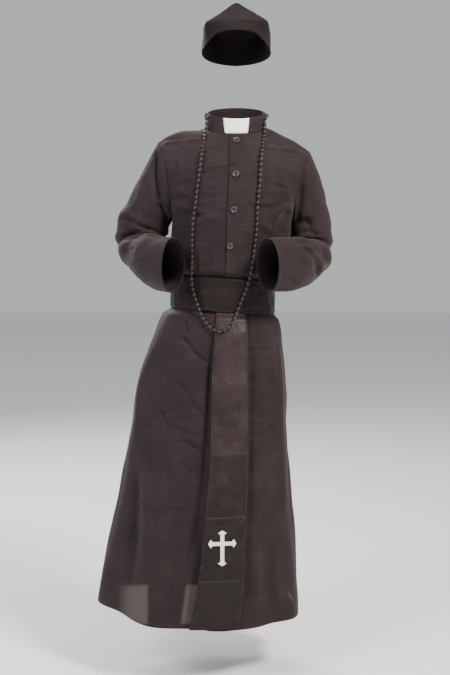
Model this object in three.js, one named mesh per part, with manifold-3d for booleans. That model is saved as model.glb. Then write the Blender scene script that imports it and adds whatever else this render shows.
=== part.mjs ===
// A worn pastor costume with no wearer: a full-length black robe with set-in sleeves and a stand
// collar, a white collar insert, a wide sash with a hanging tail and an applied cross, and a
// four-peaked soft hat. Millimetres, +Z up, the front faces -Y and the wearer's left is +X.
// The origin is the middle of the neck opening, at the height of the collar seam.
import * as THREE from "three";
import Module from "manifold-3d";

const wasm = await Module();
wasm.setup();

// Cloth walls and the play between pieces
const CLOTH = 2;
const SASH_CLOTH = 1.6;
const SEAM_GAP = 0.3;
const LAYER_GAP = 0.4;

// The robe below the armpits: level sections, a row for each height, measured across and in depth.
// lean is how far the section rises towards the wearer's right for each millimetre across.
const ARMPIT = -250;
const HEM = -1317;
const sections = [
  { z: -250, middle: -11, half: 161, front: 128, back: 118, square: 2.3, lean: 0 },
  { z: -300, middle: -15, half: 161, front: 126, back: 112, square: 2.3, lean: 0.02 },
  { z: -350, middle: -22, half: 157, front: 123, back: 107, square: 2.3, lean: 0.04 },
  { z: -382, middle: -31, half: 152, front: 123, back: 107, square: 2.3, lean: 0.06 },
  { z: -396, middle: -36.5, half: 139.5, front: 108, back: 94, square: 2.3, lean: 0.065 },
  { z: -490, middle: -36.5, half: 139.5, front: 108, back: 94, square: 2.3, lean: 0.065 },
  { z: -506, middle: -41, half: 155, front: 122, back: 106, square: 2.2, lean: 0.065 },
  { z: -560, middle: -48, half: 173, front: 132, back: 120, square: 2.2, lean: 0.065 },
  { z: -620, middle: -56, half: 186, front: 137, back: 131, square: 2.2, lean: 0.065 },
  { z: -700, middle: -65, half: 201, front: 144, back: 138, square: 2.2, lean: 0.065 },
  { z: -800, middle: -72, half: 211, front: 154, back: 145, square: 2.2, lean: 0.065 },
  { z: -900, middle: -78, half: 224, front: 165, back: 153, square: 2.15, lean: 0.067 },
  { z: -1000, middle: -83, half: 237, front: 176, back: 161, square: 2.15, lean: 0.068 },
  { z: -1100, middle: -88, half: 252, front: 186, back: 168, square: 2.1, lean: 0.069 },
  { z: -1200, middle: -96, half: 266, front: 196, back: 175, square: 2.1, lean: 0.07 },
  { z: -1317, middle: -103, half: 279, front: 206, back: 184, square: 2.1, lean: 0.07 },
];

// Heights of the rows of the robe's grid, from the hem up to the armpits
const bodyRows = [
  -1317, -1260, -1200, -1130, -1060, -990, -920, -850, -780, -710, -640, -580, -535, -506, -498,
  -490, -443, -396, -389, -382, -355, -320, -285, -250,
];

// Where the front opening runs: it hangs straight while the skirt swings out to the right
const opening = [
  { z: -22, x: 0 },
  { z: -129, x: -2 },
  { z: -224, x: -7 },
  { z: -320, x: -9 },
  { z: -445, x: -13 },
  { z: -673, x: -17 },
  { z: -850, x: -18 },
  { z: -1016, x: -28 },
  { z: -1182, x: -40 },
  { z: -1317, x: -57 },
];

// Hanging folds of the skirt. turn is the angle round from the front middle, towards the
// wearer's left; a minus depth is a hollow. Each starts at top and is full at the hem.
const skirtFolds = [
  { turn: -4, spread: 11, depth: -15, top: -520 },
  { turn: -27, spread: 12, depth: 8, top: -560 },
  { turn: -50, spread: 10, depth: -9, top: -700 },
  { turn: -68, spread: 9, depth: 9, top: -620 },
  { turn: -90, spread: 9, depth: -9, top: -760 },
  { turn: 24, spread: 12, depth: 5, top: -600 },
  { turn: 46, spread: 10, depth: -9, top: -800 },
  { turn: 66, spread: 10, depth: 8, top: -640 },
  { turn: 92, spread: 9, depth: -8, top: -700 },
  { turn: 114, spread: 9, depth: 11, top: -580 },
  { turn: 134, spread: 9, depth: -13, top: -560 },
  { turn: 154, spread: 10, depth: 12, top: -540 },
  { turn: 178, spread: 10, depth: -14, top: -530 },
  { turn: 202, spread: 10, depth: 12, top: -550 },
  { turn: 222, spread: 9, depth: -12, top: -570 },
  { turn: 244, spread: 9, depth: 11, top: -600 },
];

// How far the hem hangs above its lowest level, by the angle round from the front middle
const hemRise = [
  { turn: -180, rise: 20 },
  { turn: -90, rise: 27 },
  { turn: -48, rise: 16 },
  { turn: -20, rise: 2 },
  { turn: 5, rise: 4 },
  { turn: 23, rise: 12 },
  { turn: 50, rise: 17 },
  { turn: 90, rise: 23 },
  { turn: 180, rise: 20 },
];

// Small gathers that the sash presses into the cloth above and below itself
const gathers = [
  { z: -376, reach: 34, depth: 3.2, count: 9, phase: 0.4 },
  { z: -516, reach: 44, depth: 3, count: 8, phase: 1.7 },
];

// Neck opening: an oval that is low in front and high behind
const neck = { half: 81, front: 68, back: 66, y: -4, frontZ: -22, backZ: 16 };

// Each shoulder: its tip, the armpit below it, the ridge between neck and tip, the lowest point of
// the shoulder seam, which lies in front of the ridge, and the way out from the body.
const shoulders = {
  right: {
    out: -1,
    tip: [-208, 0, -37],
    under: [-172, 0, -250],
    ridge: [
      [-149, 2, -9],
      [-182, 2, -20],
    ],
    seamDip: [-118, -50, -34],
  },
  left: {
    out: 1,
    tip: [197, 0, -64],
    under: [150, 0, -250],
    ridge: [
      [122, 2, -19],
      [160, 2, -38],
    ],
    seamDip: [112, -53, -50],
  },
};
const ARMHOLE_DEPTH = 62;
const ARMHOLE_SCOOP = 9;
const SEAM_TURN = 80;

// Chest and upper back: a row for each level, with the middle's height and depth, the place on the
// armhole in degrees, and the way that the cloth leaves the armhole: inwards, outwards in depth, up.
const chestRows = [
  { v: 0.18, z: -220, depth: 128, turn: -55, inward: 8, away: 50, up: 6 },
  { v: 0.4, z: -172, depth: 125, turn: -20, inward: 26, away: 44, up: 4 },
  { v: 0.62, z: -112, depth: 115, turn: 18, inward: 48, away: 30, up: 4 },
  { v: 0.82, z: -62, depth: 97, turn: 52, inward: 58, away: 16, up: 10 },
];
const upperBackRows = [
  { v: 0.16, z: -222, depth: 119, turn: 235, inward: 8, away: 46, up: 6 },
  { v: 0.34, z: -180, depth: 118, turn: 202, inward: 22, away: 42, up: 4 },
  { v: 0.54, z: -112, depth: 111, turn: 164, inward: 44, away: 30, up: 4 },
  { v: 0.74, z: -46, depth: 94, turn: 124, inward: 56, away: 18, up: 10 },
];
const RIDGE_AT = 0.9;
const ARM_ROWS = 10;

// Columns of the grid from the middle to the side, and how many of them end at the neck
const FRONT_COLUMNS = 12;
const FRONT_NECK = 3;
const BACK_COLUMNS = 14;
const BACK_NECK = 6;
// The shoulder seam meets the neck opening this far round from its front
const NECK_SEAM_TURN = 50;
// The fronts lap over each other by this much on each side of the middle
const LAP = 17;

// Sleeves: rings from armhole to cuff. at is the middle, top the way to the ring's front or upper
// edge, and side the way to its outer edge.
const sleeves = {
  right: [
    { t: 0.12, at: [-205, 2, -171], top: [0, -61, 4], side: [-29, 0, 86] },
    { t: 0.25, at: [-221, 4, -200], top: [-2, -59, 4], side: [-40, 0, 64] },
    { t: 0.38, at: [-238, 6, -230], top: [-2, -58, 0], side: [-54, 2, 40] },
    { t: 0.5, at: [-255, 10, -264], top: [0, -58, -8], side: [-65, 2, 21] },
    { t: 0.6, at: [-262, 4, -302], top: [12, -50, 22], side: [-62, 6, 0] },
    { t: 0.7, at: [-254, -38, -330], top: [12, -34, 48], side: [-50, -20, 0] },
    { t: 0.8, at: [-228, -98, -347], top: [5, -12, 63], side: [-42, -26, 0] },
    { t: 0.9, at: [-195, -148, -359], top: [3, -6, 71], side: [-36, -30, 0] },
    { t: 1, at: [-162, -190, -362], top: [2, -4, 71], side: [-28, -32, 0] },
  ],
  left: [
    { t: 0.12, at: [183, 2, -181], top: [0, -61, 4], side: [30, 0, 81] },
    { t: 0.25, at: [191, 4, -203], top: [2, -59, 4], side: [36, 0, 66] },
    { t: 0.38, at: [197, 6, -233], top: [2, -58, 0], side: [46, 2, 44] },
    { t: 0.5, at: [203, 10, -272], top: [0, -58, -8], side: [53, 2, 22] },
    { t: 0.6, at: [204, 4, -314], top: [-10, -50, 22], side: [55, 6, 0] },
    { t: 0.7, at: [199, -38, -344], top: [-12, -34, 48], side: [48, -20, 0] },
    { t: 0.8, at: [170, -98, -356], top: [-5, -12, 64], side: [41, -26, 0] },
    { t: 0.9, at: [128, -148, -361], top: [-3, -6, 70], side: [35, -30, 0] },
    { t: 1, at: [79, -190, -361], top: [-2, -4, 69], side: [27, -32, 0] },
  ],
};
const sleeveRings = [
  0, 0.06, 0.13, 0.2, 0.27, 0.34, 0.41, 0.47, 0.51, 0.545, 0.58, 0.615, 0.65, 0.685, 0.72, 0.77,
  0.83, 0.89, 0.95, 1,
];
// Folds across the sleeves, most of them round the bent elbow. turn is the place round the ring,
// with 0 at its front or upper edge and 90 at its outer edge.
const sleeveFolds = [
  { t: 0.4, turn: 40, spread: 60, reach: 0.04, depth: -5 },
  { t: 0.545, turn: -45, spread: 55, reach: 0.022, depth: -7 },
  { t: 0.58, turn: 70, spread: 60, reach: 0.024, depth: 5 },
  { t: 0.615, turn: 60, spread: 65, reach: 0.024, depth: -8 },
  { t: 0.65, turn: -60, spread: 50, reach: 0.026, depth: 5 },
  { t: 0.685, turn: 120, spread: 60, reach: 0.026, depth: 5 },
  { t: 0.72, turn: 80, spread: 70, reach: 0.03, depth: -6 },
  { t: 0.83, turn: 60, spread: 80, reach: 0.045, depth: 4 },
];

// Stand collar, open in front over a white insert
const collar = {
  height: 41,
  lean: 5,
  gapLow: 31,
  gapHigh: 38,
  wall: 2.4,
  clear: 0.8,
  columns: 36,
  rows: 2,
};
const insert = { reach: 50, wall: 1.6, columns: 8, rows: 2, drop: 2 };

// Sash: a band round the waist and a tail that widens down to the hem
const band = { top: -399, low: -487, columns: 48, rows: 2, clear: 0.9, overTail: 5 };
const tailRows = [
  { z: -474, middle: -13, half: 40, steps: 2 },
  { z: -488, middle: -13, half: 40.5, steps: 3 },
  { z: -507, middle: -13, half: 41, steps: 5 },
  { z: -673, middle: -17, half: 47, steps: 6 },
  { z: -850, middle: -18, half: 49.5, steps: 6 },
  { z: -1016, middle: -28, half: 54, steps: 10 },
  { z: -1182, middle: -40, half: 59.5, steps: 5 },
  { z: -1308, middle: -57, half: 66, steps: 0 },
];
const TAIL_COLUMNS = 5;
const TAIL_WALL = 1.4;
const TAIL_EASE = 5;
// The tail keeps the creases of its packing, at these heights
const tailCreases = [-673, -850, -1016, -1182];
const CREASE_RISE = 2.2;
const CREASE_REACH = 26;

// Cross on the tail: half width of each arm against the distance from its tip
const cross = { x: -37, z: -1085, up: 34, down: 57, across: 36, wall: 1 };
const armShape = [
  { along: 0, half: 1.5 },
  { along: 6.5, half: 11.5 },
  { along: 10.5, half: 5.2 },
];

// Shirt-style buttons down the lap
const button = { heights: [-41, -129, -221, -314], radius: 9.2, thick: 3.2, rim: 2.2, dish: 0.9 };

// Soft four-gored hat, tipped back. Each seam is a ridge that climbs from the wall to the peak,
// and the gores sag between the ridges. The front gore also makes the very tip. turn is the place
// of the seam or gore round from the front.
const hat = {
  at: [0, -6, 222],
  tip: 6,
  half: 92,
  depth: 99,
  peak: 107,
  bow: 2,
  columns: 8,
  square: 5,
};
const hatSeams = [
  { turn: 45, rise: 36 },
  { turn: 135, rise: 46 },
  { turn: 225, rise: 46 },
  { turn: 315, rise: 34 },
];
const hatGores = [
  { name: "hat_front", turn: 0, sag: 0, puff: 0 },
  { name: "hat_left", turn: 90, sag: 2, puff: 18 },
  { name: "hat_back", turn: 180, sag: 5, puff: 3 },
  { name: "hat_right", turn: 270, sag: 2, puff: 0 },
];
// The lower edge is high over the forehead, and drops to the ears and the nape
const hatEdge = [
  { turn: 0, level: 9 },
  { turn: 30, level: 5 },
  { turn: 50, level: -10 },
  { turn: 65, level: -20 },
  { turn: 90, level: -29 },
  { turn: 135, level: -35 },
  { turn: 180, level: -38 },
];
// Rings of the hat from its lower edge to its peak: the share of its width, and of its height up
// the wall or up the crown
const hatRings = [
  { width: 1, wall: 0, crown: 0 },
  { width: 1.005, wall: 0.35, crown: 0 },
  { width: 1, wall: 0.7, crown: 0 },
  { width: 0.98, wall: 0.92, crown: 0 },
  { width: 0.925, wall: 1, crown: 0.055 },
  { width: 0.78, wall: 1, crown: 0.2 },
  { width: 0.56, wall: 1, crown: 0.42 },
  { width: 0.34, wall: 1, crown: 0.65 },
  { width: 0.2, wall: 1, crown: 0.81 },
  { width: 0.1, wall: 1, crown: 0.93 },
  { width: 0, wall: 1, crown: 1 },
];

// Bead string: where it lies on the chest and hangs over the sash, down one side and up the other,
// and where it goes round the collar, by the angle round from the front and the rise on the collar.
// The beads themselves are finer than this model, so the string is one plain cord.
const beads = { radius: 2.6, lift: 3.6, sides: 6, steps: 120 };
const strand = [
  { x: -87, z: -52 },
  { x: -97, z: -131 },
  { x: -105, z: -196 },
  { x: -113, z: -252 },
  { x: -116, z: -337 },
  { x: -116, z: -415 },
  { x: -106, z: -456 },
  { x: -87, z: -501 },
  { x: -70, z: -523 },
  { x: -53, z: -534 },
  { x: -30, z: -534 },
  { x: -9, z: -511 },
  { x: 9, z: -467 },
  { x: 30, z: -415 },
  { x: 45, z: -337 },
  { x: 53, z: -260 },
  { x: 55, z: -208 },
  { x: 61, z: -144 },
  { x: 64, z: -92 },
  { x: 68, z: -51 },
];
const roundCollar = [
  { turn: 57, off: 6, rise: 4 },
  { turn: 61, off: 2.4, rise: 20 },
  { turn: 70, off: 0.6, rise: 33 },
  { turn: 100, off: 0.4, rise: 34 },
  { turn: 135, off: 0.4, rise: 33 },
  { turn: 180, off: 0.4, rise: 32 },
  { turn: 225, off: 0.4, rise: 33 },
  { turn: 262, off: 0.4, rise: 34 },
  { turn: 286, off: 0.8, rise: 34 },
  { turn: 293, off: 3, rise: 20 },
  { turn: 299, off: 9, rise: 4 },
];

// Colours of the cloths
const black = new THREE.MeshStandardMaterial({ color: 0x2b2628, roughness: 0.85, metalness: 0 });
const satin = new THREE.MeshStandardMaterial({ color: 0x242023, roughness: 0.5, metalness: 0 });
const white = new THREE.MeshStandardMaterial({ color: 0xf1f0f2, roughness: 0.7, metalness: 0 });
const horn = new THREE.MeshStandardMaterial({ color: 0x1c1b1d, roughness: 0.3, metalness: 0 });

const rad = THREE.MathUtils.degToRad;
const vec = (a) => new THREE.Vector3(a[0], a[1], a[2]);
const smooth = (x) => THREE.MathUtils.smoothstep(x, 0, 1);
const bump = (x) => Math.exp(-x * x);

// The value of one column of a table at a place, on a smooth line through its rows with no overshoot
function along(keys, values, at) {
  const n = keys.length - 1;
  const rising = keys[n] > keys[0];
  let i = 0;
  while (i < n - 1 && (rising ? at > keys[i + 1] : at < keys[i + 1])) i++;
  const step = (k) => keys[k + 1] - keys[k];
  const rate = (k) => (values[k + 1] - values[k]) / step(k);
  const slope = (k) => {
    if (k === 0) return rate(0);
    if (k === n) return rate(n - 1);
    const before = rate(k - 1);
    const after = rate(k);
    if (before * after <= 0) return 0;
    const w = (step(k) + 2 * step(k - 1)) / (3 * (step(k) + step(k - 1)));
    return (before * after) / (w * after + (1 - w) * before);
  };
  const h = step(i);
  const u = THREE.MathUtils.clamp((at - keys[i]) / h, 0, 1);
  const ends = (1 + 2 * u) * (1 - u) ** 2 * values[i] + u * u * (3 - 2 * u) * values[i + 1];
  return ends + h * (u * (1 - u) ** 2 * slope(i) - u * u * (1 - u) * slope(i + 1));
}

// One row of a table, worked out between its rows. Columns may hold numbers or points.
function follow(rows, key, at) {
  const keys = rows.map((r) => r[key]);
  const made = {};
  for (const name of Object.keys(rows[0])) {
    const first = rows[0][name];
    if (Array.isArray(first)) {
      made[name] = first.map((_, k) => along(keys, rows.map((r) => r[name][k]), at));
    } else if (typeof first === "number") {
      made[name] = along(keys, rows.map((r) => r[name]), at);
    }
  }
  return made;
}

// How far the folds push the robe in or out at a height and an angle round from the front middle
function foldDepth(z, turn) {
  let depth = 0;
  for (const f of skirtFolds) {
    const away = ((turn - f.turn + 540) % 360) - 180;
    depth += f.depth * bump(away / f.spread) * smooth((f.top - z) / (f.top - HEM)) ** 0.8;
  }
  const free = smooth(Math.abs(z + 443) / 16 - 3);
  for (const g of gathers) {
    const swell = g.depth * Math.cos(g.count * rad(turn) + g.phase);
    depth += swell * bump((z - g.z) / g.reach) * free;
  }
  return depth;
}

// A point of the robe below the armpits, moved out from the cloth by ease
function robePoint(z, turn, ease = 0, folded = true) {
  const s = follow(sections, "z", z);
  const depth = Math.abs(turn) <= 90 ? s.front : s.back;
  const power = 2 / s.square;
  const sin = Math.sin(rad(turn));
  const cos = Math.cos(rad(turn));
  const x = s.half * Math.sign(sin) * Math.abs(sin) ** power;
  const y = -depth * Math.sign(cos) * Math.abs(cos) ** power;
  const out = (folded ? foldDepth(z, turn) : 0) + ease;
  const grow = 1 + out / Math.hypot(x, y);
  const lift = follow(hemRise, "turn", turn).rise * smooth((-900 - z) / (-900 - HEM));
  return new THREE.Vector3(s.middle + x * grow, y * grow, z - s.lean * x * grow + lift);
}

// The angle at which the section at a height is a given distance across from its middle
function turnAt(z, across) {
  const s = follow(sections, "z", z);
  const share = Math.min(Math.abs(across) / s.half, 1) ** (s.square / 2);
  return Math.sign(across) * THREE.MathUtils.radToDeg(Math.asin(share));
}

// A point of the neck opening, by its angle round from the front
function neckPoint(turn, grow = 0, lift = 0) {
  const cos = Math.cos(rad(turn));
  const depth = cos > 0 ? neck.front : neck.back;
  const level = (y) =>
    THREE.MathUtils.mapLinear(y, neck.y - neck.front, neck.y + neck.back, neck.frontZ, neck.backZ);
  const x = (neck.half + grow) * Math.sin(rad(turn));
  const y = neck.y - (depth + grow) * cos;
  return new THREE.Vector3(x, y, level(neck.y - depth * cos) + lift);
}

// A point of an armhole, by its angle: -90 at the armpit, 0 in front, 90 at the tip, 180 behind
function armholePoint(side, turn) {
  const tip = vec(side.tip);
  const under = vec(side.under);
  const p = tip.clone().add(under).multiplyScalar(0.5);
  p.addScaledVector(tip.sub(under), 0.5 * Math.sin(rad(turn)));
  p.y -= ARMHOLE_DEPTH * Math.cos(rad(turn));
  p.x -= side.out * ARMHOLE_SCOOP * Math.cos(rad(turn)) ** 2;
  return p;
}

// A row across the chest or the upper back, from its middle out to the armhole
function armholeRow(side, row, facing) {
  const middle = facing > 0 ? follow(opening, "z", row.z).x : backMiddle(row.z);
  const start = new THREE.Vector3(middle, -facing * row.depth, row.z);
  const end = armholePoint(side, row.turn);
  const reach = Math.abs(end.x - start.x);
  const bow = start.clone().add(new THREE.Vector3(side.out * 0.55 * reach, 0, 0));
  const leave = end.clone();
  leave.add(new THREE.Vector3(-side.out * row.inward, -facing * row.away, row.up));
  return new THREE.CubicBezierCurve3(start, bow, leave, end);
}

// The middle of the back swings across from the neck to the waist
function backMiddle(z) {
  return sections[0].middle * smooth(THREE.MathUtils.mapLinear(z, -20, -300, 0, 1.15));
}

// The share of the way from middle to side at which a curve is as far across as the lap
function lapShare(curve) {
  const start = curve.getPoint(0).x;
  let low = 0;
  let high = 0.5;
  for (let k = 0; k < 24; k++) {
    const mid = (low + high) / 2;
    if (Math.abs(curve.getPoint(mid).x - start) < LAP) low = mid;
    else high = mid;
  }
  return high;
}

// Grid columns in front start with the lap and then share out the rest of the way
const frontShare = (first, j) =>
  j === 0 ? 0 : first + ((1 - first) * (j - 1)) / (FRONT_COLUMNS - 1);

// The angle of a grid column below the armpits, counted from the opening or from the middle behind
function columnTurn(side, facing, j, z) {
  if (facing < 0) return side.out * (180 - (90 * j) / BACK_COLUMNS);
  const across = follow(opening, "z", z).x - follow(sections, "z", z).middle;
  const lapTurn = turnAt(z, across + side.out * LAP);
  if (j === 0) return turnAt(z, across);
  return THREE.MathUtils.mapLinear(j, 1, FRONT_COLUMNS, lapTurn, 90 * side.out);
}

function frontNeckTurn(j) {
  const lapTurn = THREE.MathUtils.radToDeg(Math.asin(LAP / neck.half));
  return j === 0 ? 0 : THREE.MathUtils.mapLinear(j, 1, FRONT_NECK, lapTurn, NECK_SEAM_TURN);
}

// The shoulder seam, from the neck opening to the armhole
function shoulderSeam(side) {
  const start = neckPoint(side.out * NECK_SEAM_TURN);
  const end = armholePoint(side, SEAM_TURN);
  return new THREE.CatmullRomCurve3([start, vec(side.seamDip), end], false, "centripetal");
}

// The ridge of the shoulder: it circles the neck opening and then runs out to the tip
const RIDGE_CLEAR = 15;
const RIDGE_TURN = 100;
function ridgePoint(side, j) {
  const atNeck = (turn) => neckPoint(180 - side.out * turn, RIDGE_CLEAR, -5);
  const flip = (p) => p.setX(side.out * Math.abs(p.x));
  if (j <= BACK_NECK) return flip(atNeck((side.out * RIDGE_TURN * 0.85 * j) / BACK_NECK));
  const start = flip(atNeck(side.out * RIDGE_TURN * 0.85));
  const points = [start, ...side.ridge.map(vec), armholePoint(side, 90)];
  const line = new THREE.CatmullRomCurve3(points, false, "centripetal");
  return line.getPoint((j - BACK_NECK) / (BACK_COLUMNS - BACK_NECK));
}

// A column of the upper front or back: its points at the table's levels, and then any level between
function columnOf(side, facing, j) {
  const front = facing > 0;
  const columns = front ? FRONT_COLUMNS : BACK_COLUMNS;
  const below = (z) => robePoint(z, columnTurn(side, facing, j, z));
  const knots = [
    { v: -0.28, p: below(ARMPIT - 35).toArray() },
    { v: 0, p: below(ARMPIT).toArray() },
  ];
  for (const row of front ? chestRows : upperBackRows) {
    const curve = armholeRow(side, row, facing);
    const share = front ? frontShare(lapShare(curve), j) : j / columns;
    knots.push({ v: row.v, p: curve.getPoint(share).toArray() });
  }
  if (!front) knots.push({ v: RIDGE_AT, p: ridgePoint(side, j).toArray() });
  const atNeck = front ? FRONT_NECK : BACK_NECK;
  const neckTurn = front
    ? frontNeckTurn(j)
    : THREE.MathUtils.mapLinear(j, 0, BACK_NECK, 180, NECK_SEAM_TURN);
  const end =
    j <= atNeck
      ? neckPoint(side.out * neckTurn)
      : shoulderSeam(side).getPoint((j - atNeck) / (columns - atNeck));
  knots.push({ v: 1, p: end.toArray() });
  return (v) => vec(follow(knots, "v", v).p);
}

// The whole robe as one grid of points and quads, so that pieces which meet share their seam.
// Quads are listed anticlockwise as seen from outside, under the name of the piece they belong to.
class Grid {
  constructor() {
    this.points = [];
    this.pieces = {};
  }
  add(point) {
    return this.points.push(point) - 1;
  }
  quad(piece, a, b, c, d) {
    (this.pieces[piece] ??= []).push([a, b, c, d]);
  }
  normals(quads = Object.values(this.pieces).flat()) {
    const sums = this.points.map(() => new THREE.Vector3());
    for (const q of quads) {
      const [a, b, c, d] = q.map((i) => this.points[i]);
      const normal = c.clone().sub(a).cross(d.clone().sub(b));
      for (const i of new Set(q)) sums[i].add(normal);
    }
    return sums.map((n) => n.normalize());
  }
}

// A closed cloth wall: the quads outside, the same quads moved in by the wall inside, and a rim.
// Its edges are drawn back in the cloth by half the seam gap. lift moves chosen points out.
// At a flat seam the rim follows both pieces; at a sharp one it is square to its own cloth.
function wallOf(grid, quads, wall, lift = () => 0) {
  const shared = grid.normals();
  const normals = grid.normals(quads);
  const edges = new Map();
  for (const q of quads) {
    q.forEach((a, k) => {
      const b = q[(k + 1) % 4];
      if (a !== b) edges.set(a + ":" + b, [a, b]);
    });
  }
  const rim = [...edges.values()].filter(([a, b]) => !edges.has(b + ":" + a));
  const back = new Map();
  for (const [a, b] of rim) {
    const way = grid.points[b].clone().sub(grid.points[a]).normalize();
    for (const i of [a, b]) {
      const inward = normals[i].clone().cross(way).normalize();
      back.set(i, (back.get(i) ?? new THREE.Vector3()).add(inward));
    }
  }
  const place = new Map();
  const positions = [];
  for (const i of new Set(quads.flat())) {
    const p = grid.points[i].clone().addScaledVector(normals[i], lift(i));
    const flat = normals[i].dot(shared[i]);
    const draw = flat > 0.8 ? 0.6 * SEAM_GAP : 2 * SEAM_GAP;
    if (back.has(i)) p.addScaledVector(back.get(i).normalize(), draw);
    const through = flat > 0.8 ? shared[i] : normals[i];
    const inner = p.clone().addScaledVector(through, -wall / Math.max(flat, 0.8));
    place.set(i, positions.length / 3);
    positions.push(...p.toArray(), ...inner.toArray());
  }
  const outer = (i) => place.get(i);
  const inner = (i) => place.get(i) + 1;
  const faces = [];
  const face = (a, b, c) => {
    if (a !== b && b !== c && a !== c) faces.push(a, b, c);
  };
  for (const [a, b, c, d] of quads) {
    face(outer(a), outer(b), outer(c));
    face(outer(a), outer(c), outer(d));
    face(inner(c), inner(b), inner(a));
    face(inner(d), inner(c), inner(a));
  }
  for (const [a, b] of rim) {
    face(outer(b), outer(a), inner(a));
    face(outer(b), inner(a), inner(b));
  }
  const geometry = new THREE.BufferGeometry();
  geometry.setAttribute("position", new THREE.Float32BufferAttribute(positions, 3));
  geometry.setIndex(faces);
  return geometry;
}

const costume = new THREE.Group();
function place(name, geometry, material) {
  const mesh = new THREE.Mesh(geometry, material);
  mesh.name = name;
  costume.add(mesh);
  return mesh;
}

// The robe's grid: fronts, back and sleeves
const robe = new Grid();
const LOW_ROWS = bodyRows.length - 1;
const ALL_ROWS = LOW_ROWS + ARM_ROWS;
const frontAt = {};
const backAt = {};
for (const side of Object.values(shoulders)) {
  for (const facing of [1, -1]) {
    const columns = facing > 0 ? FRONT_COLUMNS : BACK_COLUMNS;
    const store = facing > 0 ? frontAt : backAt;
    for (let j = 0; j <= columns; j++) {
      const upper = columnOf(side, facing, j);
      for (let i = 0; i <= ALL_ROWS; i++) {
        const key = i + ":" + side.out * j;
        const edge = j === columns && facing < 0;
        const onSeam = i === ALL_ROWS && j > BACK_NECK;
        if (store[key] !== undefined) continue;
        if (facing < 0 && edge && i <= LOW_ROWS) {
          store[key] = frontAt[i + ":" + side.out * FRONT_COLUMNS];
        } else if (facing < 0 && (onSeam || (i === ALL_ROWS && j === BACK_NECK))) {
          store[key] = frontAt[i + ":" + side.out * (j - BACK_NECK + FRONT_NECK)];
        } else if (i <= LOW_ROWS) {
          const z = bodyRows[i];
          store[key] = robe.add(robePoint(z, columnTurn(side, facing, j, z)));
        } else {
          store[key] = robe.add(upper((i - LOW_ROWS) / ARM_ROWS));
        }
      }
    }
  }
}

function panel(piece, store, from, to, flip) {
  for (let i = 0; i < ALL_ROWS; i++) {
    for (let j = from; j < to; j++) {
      const corners = [
        store[i + ":" + j],
        store[i + ":" + (j + 1)],
        store[i + 1 + ":" + (j + 1)],
        store[i + 1 + ":" + j],
      ];
      if (flip) corners.reverse();
      robe.quad(piece, ...corners);
    }
  }
}
panel("robe_front_right", frontAt, -FRONT_COLUMNS, 0, false);
panel("robe_front_left", frontAt, 0, FRONT_COLUMNS, false);
// The back has a seam down its middle
panel("robe_back_right", backAt, -BACK_COLUMNS, 0, true);
panel("robe_back_left", backAt, 0, BACK_COLUMNS, true);

// A point of a sleeve ring, on the smooth line through the table, with its folds
function sleevePoint(rows, t, turn) {
  const ring = follow(rows, "t", t);
  const out = vec(ring.top)
    .multiplyScalar(Math.cos(rad(turn)))
    .addScaledVector(vec(ring.side), Math.sin(rad(turn)));
  let depth = 0;
  for (const f of sleeveFolds) {
    const away = ((turn - f.turn + 540) % 360) - 180;
    depth += f.depth * bump(away / f.spread) * bump((t - f.t) / f.reach);
  }
  return vec(ring.at).addScaledVector(out, 1 + depth / out.length());
}

for (const [name, side] of Object.entries(shoulders)) {
  const tip = vec(side.tip);
  const under = vec(side.under);
  const head = {
    t: 0,
    at: tip.clone().add(under).multiplyScalar(0.5).toArray(),
    top: [0, -ARMHOLE_DEPTH, 0],
    side: tip.clone().sub(under).multiplyScalar(0.5).toArray(),
  };
  const rows = [head, ...sleeves[name]];
  const loop = [];
  for (let i = LOW_ROWS; i <= ALL_ROWS; i++) {
    loop.push({
      index: frontAt[i + ":" + side.out * FRONT_COLUMNS],
      turn: THREE.MathUtils.mapLinear(i, LOW_ROWS, ALL_ROWS, -90, SEAM_TURN),
    });
  }
  for (let i = ALL_ROWS - 1; i > LOW_ROWS; i--) {
    loop.push({
      index: backAt[i + ":" + side.out * BACK_COLUMNS],
      turn: THREE.MathUtils.mapLinear(i, ALL_ROWS, LOW_ROWS, SEAM_TURN, 270),
    });
  }
  let ring = loop.map((l) => l.index);
  for (const t of sleeveRings.slice(1)) {
    const next = loop.map(({ index, turn }) => {
      const drift = robe.points[index].clone().sub(sleevePoint(rows, 0, turn));
      const p = sleevePoint(rows, t, turn);
      return robe.add(p.addScaledVector(drift, 1 - smooth(t / 0.42)));
    });
    ring.forEach((a, k) => {
      const m = (k + 1) % ring.length;
      const corners = [a, ring[m], next[m], next[k]];
      if (side.out > 0) corners.reverse();
      robe.quad("sleeve_" + name, ...corners);
    });
    ring = next;
  }
}

// Fronts, with the wearer's left lapping over the right
const lapLift = new Map();
for (let i = 0; i <= ALL_ROWS; i++) {
  for (const j of [-1, 0, 1]) lapLift.set(frontAt[i + ":" + j], CLOTH + LAYER_GAP);
}
const leftQuads = [...robe.pieces.robe_front_left];
const rightQuads = [...robe.pieces.robe_front_right];
for (let i = 0; i < ALL_ROWS; i++) {
  const strip = (j) => [
    frontAt[i + ":" + j],
    frontAt[i + ":" + (j + 1)],
    frontAt[i + 1 + ":" + (j + 1)],
    frontAt[i + 1 + ":" + j],
  ];
  leftQuads.push(strip(-1));
  rightQuads.push(strip(0));
}
const leftFront = wallOf(robe, leftQuads, CLOTH, (i) => lapLift.get(i) ?? 0);
place("robe_front_left", leftFront, black);
place("robe_front_right", wallOf(robe, rightQuads, CLOTH), black);
place("robe_back_right", wallOf(robe, robe.pieces.robe_back_right, CLOTH), black);
place("robe_back_left", wallOf(robe, robe.pieces.robe_back_left, CLOTH), black);
place("sleeve_right", wallOf(robe, robe.pieces.sleeve_right, CLOTH), black);
place("sleeve_left", wallOf(robe, robe.pieces.sleeve_left, CLOTH), black);

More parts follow.
